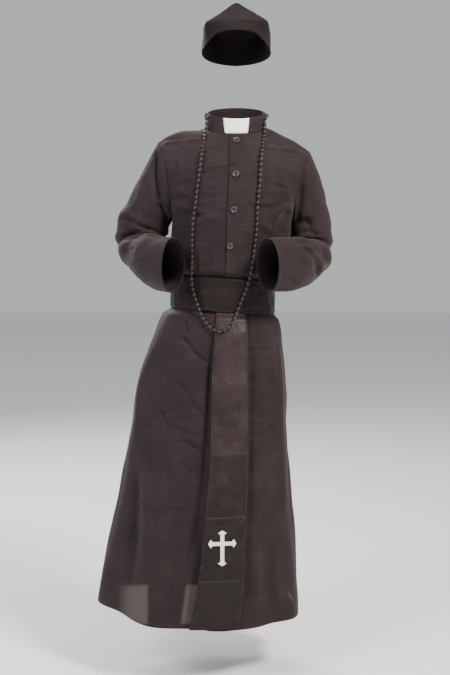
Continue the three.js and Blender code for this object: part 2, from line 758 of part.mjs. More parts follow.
// A sheet of quads from a function of two shares, across and up, both from 0 to 1
function sheet(columns, rows, pointAt, closed = false) {
  const grid = new Grid();
  const at = [];
  for (let i = 0; i <= rows; i++) {
    at.push([]);
    for (let j = 0; j <= columns; j++) {
      const around = closed && j === columns;
      at[i].push(around ? at[i][0] : grid.add(pointAt(j / columns, i / rows)));
    }
  }
  for (let i = 0; i < rows; i++) {
    for (let j = 0; j < columns; j++) {
      grid.quad("sheet", at[i][j], at[i][j + 1], at[i + 1][j + 1], at[i + 1][j]);
    }
  }
  return grid;
}
const sheetWall = (grid, wall) => wallOf(grid, grid.pieces.sheet, wall);

// Stand collar, from one end of its gap round the back to the other
function collarTurn(share, gap) {
  const start = THREE.MathUtils.radToDeg(Math.asin(gap / neck.half));
  return start + share * (360 - 2 * start);
}
const collarGrid = sheet(collar.columns, collar.rows, (u, v) => {
  const gap = THREE.MathUtils.lerp(collar.gapLow, collar.gapHigh, v);
  return neckPoint(collarTurn(u, gap), -collar.lean * v, collar.clear + collar.height * v);
});
place("collar", sheetWall(collarGrid, collar.wall), black);

// White insert, inside the collar and across its gap
const insertTurn = THREE.MathUtils.radToDeg(Math.asin(insert.reach / neck.half));
const insertGrid = sheet(insert.columns, insert.rows, (u, v) => {
  const turn = THREE.MathUtils.lerp(-insertTurn, insertTurn, u);
  const inside = -(collar.wall + 0.9) - collar.lean * v;
  return neckPoint(turn, inside, 1 + (collar.height - insert.drop) * v);
});
place("collar_insert", sheetWall(insertGrid, insert.wall), white);

// Sash band, eased out in front over the lap and the top of the tail
function bandPoint(share, rise) {
  const turn = 360 * share - 180;
  const front = smooth((32 - Math.abs(turn - 9)) / 14) * band.overTail;
  const ease = band.clear + front + SASH_CLOTH;
  return robePoint(THREE.MathUtils.lerp(band.low, band.top, rise), turn, ease, false);
}
const bandGrid = sheet(band.columns, band.rows, (u, v) => bandPoint(u, v), true);
place("sash_band", sheetWall(bandGrid, SASH_CLOTH), satin);

// How far forward the robe reaches at a place across and down, with none of its folds
function robeFrontY(x, level) {
  const tilt = follow(sections, "z", level);
  const s = follow(sections, "z", level + tilt.lean * (x - tilt.middle));
  const share = Math.min(Math.abs(x - s.middle) / s.half, 0.98);
  return -s.front * (1 - share ** s.square) ** (1 / s.square);
}

// Sash tail: it hangs from behind the band and keeps its packing creases
function tailPoint(share, z, ease = 0) {
  const row = follow(tailRows, "z", z);
  const x = row.middle + (2 * share - 1) * row.half;
  let rise = 0;
  for (const c of tailCreases) rise += CREASE_RISE * bump((z - c) / CREASE_REACH);
  const free = smooth((-490 - z) / 60);
  const lap = CLOTH + LAYER_GAP;
  const flare = 2.2 * bump((z + 0.065 * x + 501) / 9);
  const under = robeFrontY(x, z) - lap - 0.7 - flare - TAIL_WALL;
  return new THREE.Vector3(x, under - free * (TAIL_EASE + rise) - ease, z);
}
const tailLevels = tailRows.flatMap((row, k) =>
  Array.from({ length: row.steps }, (_, n) =>
    THREE.MathUtils.lerp(row.z, tailRows[k + 1].z, n / row.steps),
  ),
);
tailLevels.push(tailRows[tailRows.length - 1].z);
tailLevels.reverse();
const tailGrid = sheet(TAIL_COLUMNS, tailLevels.length - 1, (u, v) =>
  tailPoint(u, tailLevels[Math.round(v * (tailLevels.length - 1))]),
);
place("sash_tail", sheetWall(tailGrid, TAIL_WALL), satin);

// Cross: two bars with flared ends, laid on the tail and joined
function crossBar(from, to, steps, pointAt) {
  const half = (s) => {
    const fromEnd = Math.min(s, to - from - s);
    return along(armShape.map((r) => r.along), armShape.map((r) => r.half), fromEnd);
  };
  const grid = sheet(2, steps, (u, v) => {
    const s = barStop(v, to - from);
    return pointAt(from + s, (2 * u - 1) * half(s));
  });
  return solidOf(sheetWall(grid, cross.wall));
}
// Steps along a bar, closer together at its flared ends
function barStop(v, length) {
  const ends = armShape.map((r) => r.along);
  const stops = [...ends, ...ends.map((e) => length - e).reverse()];
  const at = v * (stops.length - 1);
  const k = Math.min(Math.floor(at), stops.length - 2);
  return THREE.MathUtils.lerp(stops[k], stops[k + 1], at - k);
}
function tailAcross(x, z, ease) {
  const row = follow(tailRows, "z", z);
  return tailPoint((x - row.middle + row.half) / (2 * row.half), z, ease);
}
function solidOf(geometry) {
  return new wasm.Manifold(
    new wasm.Mesh({
      numProp: 3,
      vertProperties: new Float32Array(geometry.attributes.position.array),
      triVerts: new Uint32Array(geometry.index.array),
    }),
  );
}
function geometryOf(solid) {
  const mesh = solid.getMesh();
  const geometry = new THREE.BufferGeometry();
  geometry.setAttribute("position", new THREE.BufferAttribute(mesh.vertProperties, 3));
  geometry.setIndex(new THREE.BufferAttribute(mesh.triVerts, 1));
  return geometry;
}
const crossEase = cross.wall + LAYER_GAP;
const upright = crossBar(-cross.down, cross.up, 15, (s, half) =>
  tailAcross(cross.x + half, cross.z + s, crossEase),
);
const beam = crossBar(-cross.across, cross.across, 15, (s, half) =>
  tailAcross(cross.x + s, cross.z - half, crossEase),
);
place("cross_applique", geometryOf(upright.add(beam)), white);

// Buttons: a dished disc with a raised rim, square to the cloth of the lap
const buttonProfile = [
  [0, 0],
  [button.radius, 0],
  [button.radius, button.thick * 0.6],
  [button.radius - button.rim * 0.5, button.thick],
  [button.radius - button.rim, button.thick],
  [button.radius - button.rim - 1, button.thick - button.dish],
  [0, button.thick - button.dish],
].map(([r, y]) => new THREE.Vector2(r, y));
function lapPoint(z) {
  if (z <= ARMPIT) return robePoint(z, 0);
  const middle = columnOf(shoulders.left, 1, 0);
  let low = 0;
  let high = 1;
  for (let k = 0; k < 24; k++) {
    const mid = (low + high) / 2;
    if (middle(mid).z < z) low = mid;
    else high = mid;
  }
  return middle(high);
}
button.heights.forEach((z, k) => {
  const turned = new THREE.LatheGeometry(buttonProfile, 18);
  turned.deleteAttribute("normal");
  turned.deleteAttribute("uv");
  const disc = place("button_" + (k + 1), turned, horn);
  const p = lapPoint(z);
  const up = lapPoint(z + 12).sub(lapPoint(z - 12)).normalize();
  const out = new THREE.Vector3(1, 0, 0).cross(up).normalize();
  disc.quaternion.setFromUnitVectors(new THREE.Vector3(0, 1, 0), out);
  disc.position.copy(p).addScaledVector(out, CLOTH + 2 * LAYER_GAP);
});

// Bead string: each place is found on the front of what it lies on, and then stands off it
costume.updateMatrixWorld(true);
const caster = new THREE.Raycaster();
function foremost(x, z) {
  caster.set(new THREE.Vector3(x, -600, z), new THREE.Vector3(0, 1, 0));
  return caster.intersectObjects(costume.children, false)[0].point.y;
}
const flatStrand = new THREE.CatmullRomCurve3(
  strand.map((p) => new THREE.Vector3(p.x, 0, p.z)),
  false,
  "centripetal",
);
const HANGING = 60;
const hanging = Array.from({ length: HANGING + 1 }, (_, k) => flatStrand.getPointAt(k / HANGING));
const fronts = hanging.map((p) => Math.min(...[-4, 0, 4].map((dx) => foremost(p.x + dx, p.z))));
const windowOf = (values, k, reach) => values.slice(Math.max(0, k - reach), k + reach + 1);
const eased = fronts.map((_, k) => Math.min(...windowOf(fronts, k, 2)));
hanging.forEach((p, k) => {
  const near = windowOf(eased, k, 2);
  p.y = near.reduce((sum, y) => sum + y, 0) / near.length - beads.lift;
});
const round = roundCollar.map((r) => neckPoint(r.turn, r.off, r.rise));
const loop = [...hanging.slice(1, -1), ...round];
const string = new THREE.CatmullRomCurve3(loop, true, "centripetal");
const cord = new THREE.TubeGeometry(string, beads.steps, beads.radius, beads.sides, true);
cord.deleteAttribute("normal");
cord.deleteAttribute("uv");
place("bead_string", cord, horn);

// Hat: the lower edge is an oval, and the ridges draw the crown out to its corners
function hatPoint(turn, ring) {
  const at = ((turn + 315) % 360) / 90;
  const gore = hatGores[(Math.floor(at) + 1) % 4];
  const u = at - Math.floor(at);
  const from = hatSeams[Math.floor(at)];
  const to = hatSeams[(Math.floor(at) + 1) % 4];
  const rise = THREE.MathUtils.lerp(from.rise, to.rise, smooth(u));
  const between = Math.sin(Math.PI * u);
  const sin = Math.sin(rad(turn));
  const cos = Math.cos(rad(turn));
  const power = THREE.MathUtils.lerp(2, hat.square, ring.wall);
  const reach = (Math.abs(sin) ** power + Math.abs(cos) ** power) ** (-1 / power);
  const low = follow(hatEdge, "turn", Math.min(Math.abs(turn), 360 - Math.abs(turn))).level;
  const loose = between * (gore.puff * (1 - ring.crown) - gore.sag) * Math.sin(Math.PI * ring.crown);
  const top = THREE.MathUtils.lerp(rise - between * hat.bow, hat.peak, ring.crown);
  const z = THREE.MathUtils.lerp(low, top, ring.wall) + loose;
  const grow = ring.width * THREE.MathUtils.lerp(1, reach * 0.965, ring.wall);
  return new THREE.Vector3(hat.half * grow * sin, -hat.depth * grow * cos, z);
}
const hatGrid = new Grid();
const HAT_TURNS = 4 * hat.columns;
const hatPeak = hatGrid.add(hatPoint(0, hatRings[hatRings.length - 1]));
const hatAt = hatRings.map((ring, i) =>
  Array.from({ length: HAT_TURNS }, (_, j) =>
    i === hatRings.length - 1 ? hatPeak : hatGrid.add(hatPoint((360 * j) / HAT_TURNS - 45, ring)),
  ),
);
for (let i = 0; i < hatRings.length - 1; i++) {
  for (let j = 0; j < HAT_TURNS; j++) {
    const m = (j + 1) % HAT_TURNS;
    const tip = i === hatRings.length - 2;
    const gore = hatGores[tip ? 0 : Math.floor(j / hat.columns)].name;
    hatGrid.quad(gore, hatAt[i][j], hatAt[i][m], hatAt[i + 1][m], hatAt[i + 1][j]);
  }
}
for (const { name } of hatGores) {
  const mesh = place(name, wallOf(hatGrid, hatGrid.pieces[name], CLOTH), black);
  mesh.rotation.x = rad(-hat.tip);
  mesh.position.copy(vec(hat.at));
}

export default costume;
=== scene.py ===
import math

import bpy
import numpy as np
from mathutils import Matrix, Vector
from mathutils.bvhtree import BVHTree


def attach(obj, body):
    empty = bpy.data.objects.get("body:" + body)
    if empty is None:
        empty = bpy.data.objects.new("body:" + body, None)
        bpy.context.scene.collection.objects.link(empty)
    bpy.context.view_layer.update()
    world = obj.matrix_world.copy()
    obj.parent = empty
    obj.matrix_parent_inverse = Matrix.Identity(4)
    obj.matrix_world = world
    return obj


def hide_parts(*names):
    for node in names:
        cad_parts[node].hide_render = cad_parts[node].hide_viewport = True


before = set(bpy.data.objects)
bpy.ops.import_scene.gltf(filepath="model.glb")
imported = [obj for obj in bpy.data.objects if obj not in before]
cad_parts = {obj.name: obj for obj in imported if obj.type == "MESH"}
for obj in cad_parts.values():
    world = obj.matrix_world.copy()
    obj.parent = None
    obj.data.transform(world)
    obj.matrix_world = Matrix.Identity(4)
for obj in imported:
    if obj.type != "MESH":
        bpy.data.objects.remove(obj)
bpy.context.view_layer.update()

# Camera. It stands 3.2 m in front of the chest, level with it, and looks a little down, so that the
# costume fills a frame of 450 by 675. The lens is measured against the frame's height.
CAMERA_AIM = Vector((-0.03, 0, -0.564))
lens = bpy.data.cameras.new("camera")
lens.lens = 63
lens.sensor_width = 36
camera = bpy.data.objects.new("camera", lens)
camera.location = (-0.03, -3.2, -0.274)
camera.rotation_euler = (CAMERA_AIM - camera.location).to_track_quat("-Z", "Y").to_euler()
bpy.context.scene.collection.objects.link(camera)
bpy.context.scene.camera = camera

# Room. A soft warm lamp stands high on the right, a broad one on the left and one behind, in an even
# pale room. The plain pale floor lies below the hem, as far down as the costume hangs when it is worn.
ROOM_COLOUR, ROOM_STRENGTH = (0.86, 0.88, 0.9, 1), 0.62
FLOOR_LEVEL = -1.47
FLOOR_HALF = 14
FLOOR_CORNERS = [(-1, -1), (1, -1), (1, 1), (-1, 1)]
LAMP_AIM = Vector((-0.03, 0, -0.5))
LAMPS = [
    ("key", (1.9, -2.1, 1.9), 0.8, 245, (1, 0.92, 0.8)),
    ("fill", (-2.4, -2.3, 1.2), 1.3, 125, (0.98, 0.95, 1)),
    ("behind", (-1.5, 2.7, 1.3), 1.3, 130, (1, 0.97, 0.95)),
]
for name, place, wide, power, tint in LAMPS:
    lamp = bpy.data.lights.new(name, "AREA")
    lamp.size = wide
    lamp.energy = power
    lamp.color = tint
    stand = bpy.data.objects.new(name, lamp)
    stand.location = place
    stand.rotation_euler = (LAMP_AIM - stand.location).to_track_quat("-Z", "Y").to_euler()
    bpy.context.scene.collection.objects.link(stand)
room = bpy.data.worlds.new("room")
room.use_nodes = True
walls = room.node_tree.nodes["Background"]
walls.inputs["Color"].default_value = ROOM_COLOUR
walls.inputs["Strength"].default_value = ROOM_STRENGTH
bpy.context.scene.world = room
ground = bpy.data.meshes.new("floor")
corners = [(x * FLOOR_HALF, y * FLOOR_HALF, FLOOR_LEVEL) for x, y in FLOOR_CORNERS]
ground.from_pydata(corners, [], [(0, 1, 2, 3)])
floor = bpy.data.objects.new("floor", ground)
bpy.context.scene.collection.objects.link(floor)


class Wire:
    """A value in a finish's node tree. Arithmetic on it adds Math nodes."""

    def __init__(self, finish, socket):
        self.finish = finish
        self.socket = socket

    def other(self, output):
        return Wire(self.finish, self.socket.node.outputs[output])

    def maths(self, operation, *values):
        return self.finish.node("ShaderNodeMath", {"operation": operation}, dict(enumerate(values)))

    def __add__(self, value):
        return self.maths("ADD", self, value)

    def __sub__(self, value):
        return self.maths("SUBTRACT", self, value)

    def __rsub__(self, value):
        return self.maths("SUBTRACT", value, self)

    def __mul__(self, value):
        return self.maths("MULTIPLY", self, value)

    def __abs__(self):
        return self.maths("ABSOLUTE", self)

    __radd__ = __add__

    def wave(self):
        return self.maths("SINE", self)

    def between(self, low, high):
        """0 below low and 1 above high, with a soft step, or the other way round."""
        settings = {"interpolation_type": "SMOOTHSTEP"}
        if low < high:
            return self.finish.node("ShaderNodeMapRange", settings, {0: self, 1: low, 2: high})
        return 1 - self.between(high, low)


class Finish:
    """A material. Fixed numbers go straight on its shader, and wires only where it varies."""

    def __init__(self, name, fixed):
        self.material = bpy.data.materials.new(name)
        self.material.use_nodes = True
        self.tree = self.material.node_tree
        self.shader = self.tree.nodes["Principled BSDF"]
        for key, value in fixed.items():
            self.shader.inputs[key].default_value = value

    def put(self, socket, value):
        if isinstance(value, Wire):
            self.tree.links.new(value.socket, socket)
        else:
            socket.default_value = value

    def node(self, kind, settings, inputs, output=0):
        made = self.tree.nodes.new(kind)
        for key, value in settings.items():
            setattr(made, key, value)
        for key, value in inputs.items():
            self.put(made.inputs[key], value)
        return Wire(self, made.outputs[output])

    def cut(self):
        """Place on the flat cloth in metres, across and along, and the distance to its near edge."""
        named = {"attribute_name": "cut"}
        place = self.node("ShaderNodeAttribute", named, {}, "Vector")
        across = self.node("ShaderNodeSeparateXYZ", {}, {0: place})
        return place, across, across.other("Y"), across.other("Z")

    def noise(self, place, stretch, scale, detail=2.0):
        """Soft noise, from about 0 to 1, finer by stretch along each axis of the place."""
        longer = {"operation": "MULTIPLY"}
        place = self.node("ShaderNodeVectorMath", longer, {0: place, 1: stretch})
        return self.node("ShaderNodeTexNoise", {}, {"Vector": place, "Scale": scale, "Detail": detail})

    def mixed(self, share, first, second):
        return self.node("ShaderNodeMix", {"data_type": "RGBA"}, {0: share, 6: first, 7: second}, 2)

    def colour(self, value):
        self.put(self.shader.inputs["Base Color"], value)

    def rough(self, value):
        self.put(self.shader.inputs["Roughness"], value)

    def relief(self, height):
        """height is in metres."""
        bumped = {"Strength": 1.0, "Distance": 1.0, "Height": height}
        self.put(self.shader.inputs["Normal"], self.node("ShaderNodeBump", {}, bumped))


floor_paint = Finish("floor_paint", {"Base Color": (0.8, 0.81, 0.82, 1), "Roughness": 0.8})
ground.materials.append(floor_paint.material)

# Shell fabric of the robe: a thin matt black cloth in plain weave, a little brown where light rakes
# it, with uneven threads across, a soft nap and faint crumpling from its packet.
CLOTH_DARK = (0.0105, 0.0063, 0.0076, 1)
CLOTH_PALE = (0.0232, 0.0142, 0.0161, 1)
# Painted light: the paler colour of one layer of cloth with light coming through it.
CLOTH_LIT_THROUGH = (0.060, 0.045, 0.042, 1)
ROBE_SHEEN_TINT = (0.8, 0.66, 0.68, 1)
THREAD_PITCH = 0.0008
HEM_STITCH = 0.011


def plain_weave(across, up, pitch):
    """Threads over and under each other, that far apart, from -1 to 1."""
    return (across * (2 * math.pi / pitch)).wave() * (up * (2 * math.pi / pitch)).wave()


def stitches(across, up, edge, inset, pace):
    """A row of stitches that far in from the cloth's edge, 0 or 1."""
    row = abs(edge - inset).between(0.0006, 0.0002)
    return row * ((across + up) * pace).wave().between(-0.3, 0.1)


def robe_fabric(name, painted_shade=1.0, sheen=0.1):
    nap = {"Sheen Weight": sheen, "Sheen Tint": ROBE_SHEEN_TINT, "Specular IOR Level": 0.17}
    made = Finish(name, nap)
    # painted_shade darkens both colours, as painted shade on a piece that should lie darker under the
    # lamps.
    dark, pale = ([c * painted_shade for c in tone[:3]] + [1] for tone in (CLOTH_DARK, CLOTH_PALE))
    place, across, up, edge = made.cut()
    slubs = made.noise(place, (18, 420, 1), 1.0, 3.0)
    long_slubs = made.noise(place, (500, 12, 1), 1.0, 2.0)
    streaks = made.noise(place, (9, 85, 1), 1.0, 3.0)
    cloudy = made.noise(place, (1, 1, 1), 9.0, 3.0)
    crumple = made.noise(place, (1, 1.6, 1), 55.0, 2.5)
    weave = plain_weave(across, up, THREAD_PITCH)
    hem = edge.between(0.0125, 0.0105) * edge.between(0.002, 0.004)
    stitch = stitches(across, up, edge, HEM_STITCH, 2600)
    share = 0.42 + (slubs - 0.5) * 0.9 + (long_slubs - 0.5) * 0.5 + (cloudy - 0.5) * 1.0
    share = share + (streaks - 0.5) * 0.8 + weave * 0.08 + hem * 0.1 - stitch * 0.5
    base = made.mixed(share.between(0.0, 1.0), dark, pale)
    # Painted light: where one layer hangs alone, the cloth is painted paler for the light that comes
    # through it.
    thin = made.node("ShaderNodeAttribute", {"attribute_name": "thin"}, {}, "Fac")
    made.colour(made.mixed(thin, base, CLOTH_LIT_THROUGH))
    made.rough(0.78 + (slubs - 0.5) * 0.16)
    threads = weave * 0.00006 + slubs * 0.00012 + streaks * 0.0004
    made.relief(threads + crumple * 0.0011 + hem * 0.0004 - stitch * 0.0005)
    return made


robe_cloth = robe_fabric("robe_cloth")

# Robe fronts: two panels of the shell fabric from the neck to the hem. The left front, as worn, laps
# over the right one by 34 mm, and both are held open and round by nothing but their own hang.
CLOTH = 2.0
LAYER_GAP = 0.4
SHELL = 0.9
ARMPIT = -250
WAIST = -443
WAIST_LEAN = 0.065
HEM_RISES_FROM = -900
HEM = -1317
SECTIONS = {
    "z": [-250, -300, -350, -382, -396, -490, -506, -560,
          -620, -700, -800, -900, -1000, -1100, -1200, -1317],
    "middle": [-11, -15, -22, -31, -36.5, -36.5, -41, -48, -56, -65, -72, -78, -83, -88, -96, -103],
    "half": [161, 161, 157, 152, 139.5, 139.5, 155, 173, 186, 201, 211, 224, 237, 252, 266, 279],
    "front": [128, 126, 123, 123, 108, 108, 122, 132, 137, 144, 154, 165, 176, 186, 196, 206],
    "back": [118, 112, 107, 107, 94, 94, 106, 120, 131, 138, 145, 153, 161, 168, 175, 184],
    "square": [2.3, 2.3, 2.3, 2.3, 2.3, 2.3, 2.2, 2.2, 2.2, 2.2, 2.2, 2.15, 2.15, 2.1, 2.1, 2.1],
    "lean": [0, 0.02, 0.04, 0.06, 0.065, 0.065, 0.065, 0.065,
             0.065, 0.065, 0.065, 0.067, 0.068, 0.069, 0.07, 0.07],
}
OPENING = {
    "z": [-22, -129, -224, -320, -445, -673, -850, -1016, -1182, -1317],
    "x": [0, -2, -7, -9, -13, -17, -18, -28, -40, -57],
}
SKIRT_FOLDS = {
    "turn": [-4, -27, -50, -68, -90, 24, 46, 66, 92, 114, 134, 154, 178, 202, 222, 244],
    "spread": [11, 12, 10, 9, 9, 12, 10, 10, 9, 9, 9, 10, 10, 10, 9, 9],
    "depth": [-15, 8, -9, 9, -9, 5, -9, 8, -8, 11, -13, 12, -14, 12, -12, 11],
    "top": [-520, -560, -700, -620, -760, -600, -800, -640,
            -700, -580, -560, -540, -530, -550, -570, -600],
}
HEM_RISE = {
    "turn": [-180, -90, -48, -20, 5, 23, 50, 90, 180],
    "rise": [20, 27, 16, 2, 4, 12, 17, 23, 20],
}
GATHERS = {"z": [-376, -516], "reach": [34, 44], "depth": [3.2, 3], "count": [9, 8], "phase": [0.4, 1.7]}
NECK_HALF = 81
NECK_FRONT, NECK_BACK, NECK_Y = 68, 66, -4
NECK_LOW, NECK_HIGH = -22, 16
RIGHT = {
    "out": -1,
    "tip": (-208, 0, -37),
    "under": (-172, 0, -250),
    "ridge": [(-149, 2, -9), (-182, 2, -20)],
    "dip": (-118, -50, -34),
}
LEFT = {
    "out": 1,
    "tip": (197, 0, -64),
    "under": (150, 0, -250),
    "ridge": [(122, 2, -19), (160, 2, -38)],
    "dip": (112, -53, -50),
}
ARMHOLE_DEPTH = 62
ARMHOLE_SCOOP = 9
SEAM_TURN = 80
CHEST = {
    "v": [0.18, 0.4, 0.62, 0.82],
    "z": [-220, -172, -112, -62],
    "depth": [128, 125, 115, 97],
    "turn": [-55, -20, 18, 52],
    "inward": [8, 26, 48, 58],
    "away": [50, 44, 30, 16],
    "up": [6, 4, 4, 10],
}
UPPER_BACK = {
    "v": [0.16, 0.34, 0.54, 0.74],
    "z": [-222, -180, -112, -46],
    "depth": [119, 118, 111, 94],
    "turn": [235, 202, 164, 124],
    "inward": [8, 22, 44, 56],
    "away": [46, 42, 30, 18],
    "up": [6, 4, 4, 10],
}
RIDGE_AT = 0.9
RIDGE_CLEAR = 15
RIDGE_TURN = 85
FRONT_COLUMNS, FRONT_NECK = 12, 3
BACK_COLUMNS, BACK_NECK = 14, 6
NECK_SEAM_TURN = 50
LAP = 17


def along(keys, values, at):
    """A table's column at any place, on a smooth line through its rows with no overshoot."""
    keys = np.array(keys, float)
    values = np.array(values, float).reshape(len(keys), -1)
    if keys[-1] < keys[0]:
        keys, values = keys[::-1], values[::-1]
    step = np.diff(keys)[:, None]
    rate = np.diff(values, axis=0) / step
    before, after = rate[:-1], rate[1:]
    share = (step[1:] + 2 * step[:-1]) / (3 * (step[1:] + step[:-1]))
    one_way = before * after > 0
    mean = np.where(one_way, share * after + (1 - share) * before, 1)
    slope = np.vstack([rate[:1], np.where(one_way, before * after / mean, 0), rate[-1:]])
    at = np.asarray(at, float)
    k = np.clip(np.searchsorted(keys, at.ravel(), side="right") - 1, 0, len(keys) - 2)
    u = np.clip((at.ravel() - keys[k])[:, None] / step[k], 0, 1)
    made = (1 + 2 * u) * (1 - u) ** 2 * values[k] + u * u * (3 - 2 * u) * values[k + 1]
    made = made + step[k] * (u * (1 - u) ** 2 * slope[k] - u * u * (1 - u) * slope[k + 1])
    return made.reshape(at.shape if made.shape[1] == 1 else at.shape + (-1,))


def follow(table, key, at):
    return {name: along(table[key], column, at) for name, column in table.items()}


def rows_of(table):
    return [dict(zip(table, row)) for row in zip(*table.values())]


def smooth(x):
    x = np.clip(x, 0, 1)
    return x * x * (3 - 2 * x)


def swell(x):
    return np.exp(-np.square(x))


def around(turn, middle):
    return (turn - middle + 540) % 360 - 180


def fold_depth(z, turn):
    depth = np.zeros(np.broadcast(z, turn).shape)
    for f in rows_of(SKIRT_FOLDS):
        full = smooth((f["top"] - z) / (f["top"] - HEM)) ** 0.8
        depth = depth + f["depth"] * swell(around(turn, f["turn"]) / f["spread"]) * full
    free = smooth(np.abs(z - WAIST) / 16 - 3)
    for g in rows_of(GATHERS):
        wave = g["depth"] * np.cos(g["count"] * np.radians(turn) + g["phase"])
        depth = depth + wave * swell((z - g["z"]) / g["reach"]) * free
    return depth


def robe_point(z, turn, ease=0.0, folded=True):
    """A point of the robe below the armpits, in mm, by height and angle round from the front."""
    z, turn = np.broadcast_arrays(np.asarray(z, float), np.asarray(turn, float))
    s = follow(SECTIONS, "z", z)
    sin, cos = np.sin(np.radians(turn)), np.cos(np.radians(turn))
    depth = np.where(np.abs(turn) <= 90, s["front"], s["back"])
    x = s["half"] * np.sign(sin) * np.abs(sin) ** (2 / s["square"])
    y = -depth * np.sign(cos) * np.abs(cos) ** (2 / s["square"])
    grow = 1 + ((fold_depth(z, turn) if folded else 0) + ease) / np.hypot(x, y)
    near_hem = smooth((HEM_RISES_FROM - z) / (HEM_RISES_FROM - HEM))
    lift = along(HEM_RISE["turn"], HEM_RISE["rise"], turn) * near_hem
    return np.stack([s["middle"] + x * grow, y * grow, z - s["lean"] * x * grow + lift], axis=-1)


def turn_at(z, across):
    s = follow(SECTIONS, "z", z)
    share = np.minimum(np.abs(across) / s["half"], 1) ** (s["square"] / 2)
    return np.sign(across) * np.degrees(np.arcsin(share))


def neck_point(turn, grow=0.0, lift=0.0):
    """A point of the neck opening, by its angle round from the front."""
    sin, cos = np.sin(np.radians(turn)), np.cos(np.radians(turn))
    depth = np.where(cos > 0, NECK_FRONT, NECK_BACK)
    share = (NECK_FRONT - depth * cos) / (NECK_FRONT + NECK_BACK)
    level = NECK_LOW + (NECK_HIGH - NECK_LOW) * share
    x, y = (NECK_HALF + grow) * sin, NECK_Y - (depth + grow) * cos
    return np.stack(np.broadcast_arrays(x, y, level + lift), axis=-1)


def armhole_point(side, turn):
    tip, under = np.array(side["tip"], float), np.array(side["under"], float)
    sin, cos = math.sin(math.radians(turn)), math.cos(math.radians(turn))
    move = np.array([-side["out"] * ARMHOLE_SCOOP * cos**2, -ARMHOLE_DEPTH * cos, 0])
    return (tip + under) / 2 + (tip - under) / 2 * sin + move


def back_middle(z):
    return SECTIONS["middle"][0] * smooth((z + 20) / -280 * 1.15)


def row_curve(side, row, facing):
    """Four control points of a row across the chest or upper back, middle to armhole."""
    middle = float(follow(OPENING, "z", row["z"])["x"]) if facing > 0 else float(back_middle(row["z"]))
    start = np.array([middle, -facing * row["depth"], row["z"]])
    end = armhole_point(side, row["turn"])
    bow = start + [side["out"] * 0.55 * abs(end[0] - start[0]), 0, 0]
    leave = end + [-side["out"] * row["inward"], -facing * row["away"], row["up"]]
    return start, bow, leave, end


def on_curve(curve, t):
    a, b, c, d = curve
    return (1 - t) ** 3 * a + 3 * t * (1 - t) ** 2 * b + 3 * t * t * (1 - t) * c + t**3 * d


def lap_share(curve):
    shares = np.linspace(0, 0.5, 400)
    reach = [abs(on_curve(curve, s)[0] - curve[0][0]) for s in shares]
    return float(np.interp(LAP, reach, shares))


def smooth_line(points, t, closed=False):
    """Points on a smooth line through the given ones, t from 0 at the first to 1 at the last."""
    points = np.array(points, float)
    n = len(points)
    t = np.atleast_1d(np.asarray(t, float)) * (n if closed else n - 1)
    k = np.floor(t).astype(int)
    if closed:
        ring = np.vstack([points[-1:], points, points[:2]])
        k = np.clip(k, 0, n - 1)
    else:
        ring = np.vstack([2 * points[0] - points[1], points, 2 * points[-1] - points[-2]])
        k = np.clip(k, 0, n - 2)
    u = (t - k)[:, None]
    a, b, c, d = ring[k], ring[k + 1], ring[k + 2], ring[k + 3]
    ab, bc, cd = (np.sqrt(np.linalg.norm(q - p, axis=1))[:, None] for p, q in ((a, b), (b, c), (c, d)))
    leave = ((b - a) / ab - (c - a) / (ab + bc) + (c - b) / bc) * bc
    reach = ((c - b) / bc - (d - b) / (bc + cd) + (d - c) / cd) * bc
    u2, u3 = u * u, u**3
    return b + leave * u + (3 * (c - b) - 2 * leave - reach) * u2 + (2 * (b - c) + leave + reach) * u3


def shoulder_seam(side, t):
    ends = neck_point(side["out"] * NECK_SEAM_TURN), armhole_point(side, SEAM_TURN)
    return smooth_line([ends[0], side["dip"], ends[1]], t)[0]


def ridge_point(side, j):
    def at_neck(turn):
        p = neck_point(180 - side["out"] * turn, RIDGE_CLEAR, -5)
        return np.array([side["out"] * abs(p[0]), p[1], p[2]])

    if j <= BACK_NECK:
        return at_neck(side["out"] * RIDGE_TURN * j / BACK_NECK)
    points = [at_neck(side["out"] * RIDGE_TURN), *side["ridge"], armhole_point(side, 90)]
    return smooth_line(points, (j - BACK_NECK) / (BACK_COLUMNS - BACK_NECK))[0]


def column_turn(side, facing, j, z):
    """Angle of a column below the armpits, counted from the opening or from the middle behind."""
    if facing < 0:
        return np.full(np.shape(z), side["out"] * (180 - 90 * j / BACK_COLUMNS))
    across = follow(OPENING, "z", z)["x"] - follow(SECTIONS, "z", z)["middle"]
    lap = turn_at(z, across + side["out"] * LAP)
    if j <= 1:
        return turn_at(z, across + side["out"] * LAP * j)
    return lap + (90 * side["out"] - lap) * (j - 1) / (FRONT_COLUMNS - 1)


def upper_points(side, facing, j, v):
    """A column of the upper front or back, from the armpits' level to the neck or shoulder seam."""
    knots = [-0.28, 0]
    low = np.array([ARMPIT - 35, ARMPIT])
    points = list(robe_point(low, column_turn(side, facing, j, low)))
    for row in rows_of(CHEST if facing > 0 else UPPER_BACK):
        curve = row_curve(side, row, facing)
        share = j / BACK_COLUMNS
        if facing > 0:
            first = lap_share(curve)
            share = first * j if j <= 1 else first + (1 - first) * (j - 1) / (FRONT_COLUMNS - 1)
        knots.append(row["v"])
        points.append(on_curve(curve, share))
    if facing < 0:
        knots.append(RIDGE_AT)
        points.append(ridge_point(side, j))
        turn = 180 + (NECK_SEAM_TURN - 180) * j / BACK_NECK
        at_neck, columns = BACK_NECK, BACK_COLUMNS
    else:
        lap = math.degrees(math.asin(LAP / NECK_HALF))
        turn = lap * j if j <= 1 else lap + (NECK_SEAM_TURN - lap) * (j - 1) / (FRONT_NECK - 1)
        at_neck, columns = FRONT_NECK, FRONT_COLUMNS
    knots.append(1)
    if j <= at_neck:
        points.append(neck_point(side["out"] * turn))
    else:
        points.append(shoulder_seam(side, (j - at_neck) / (columns - at_neck)))
    return along(knots, points, v)


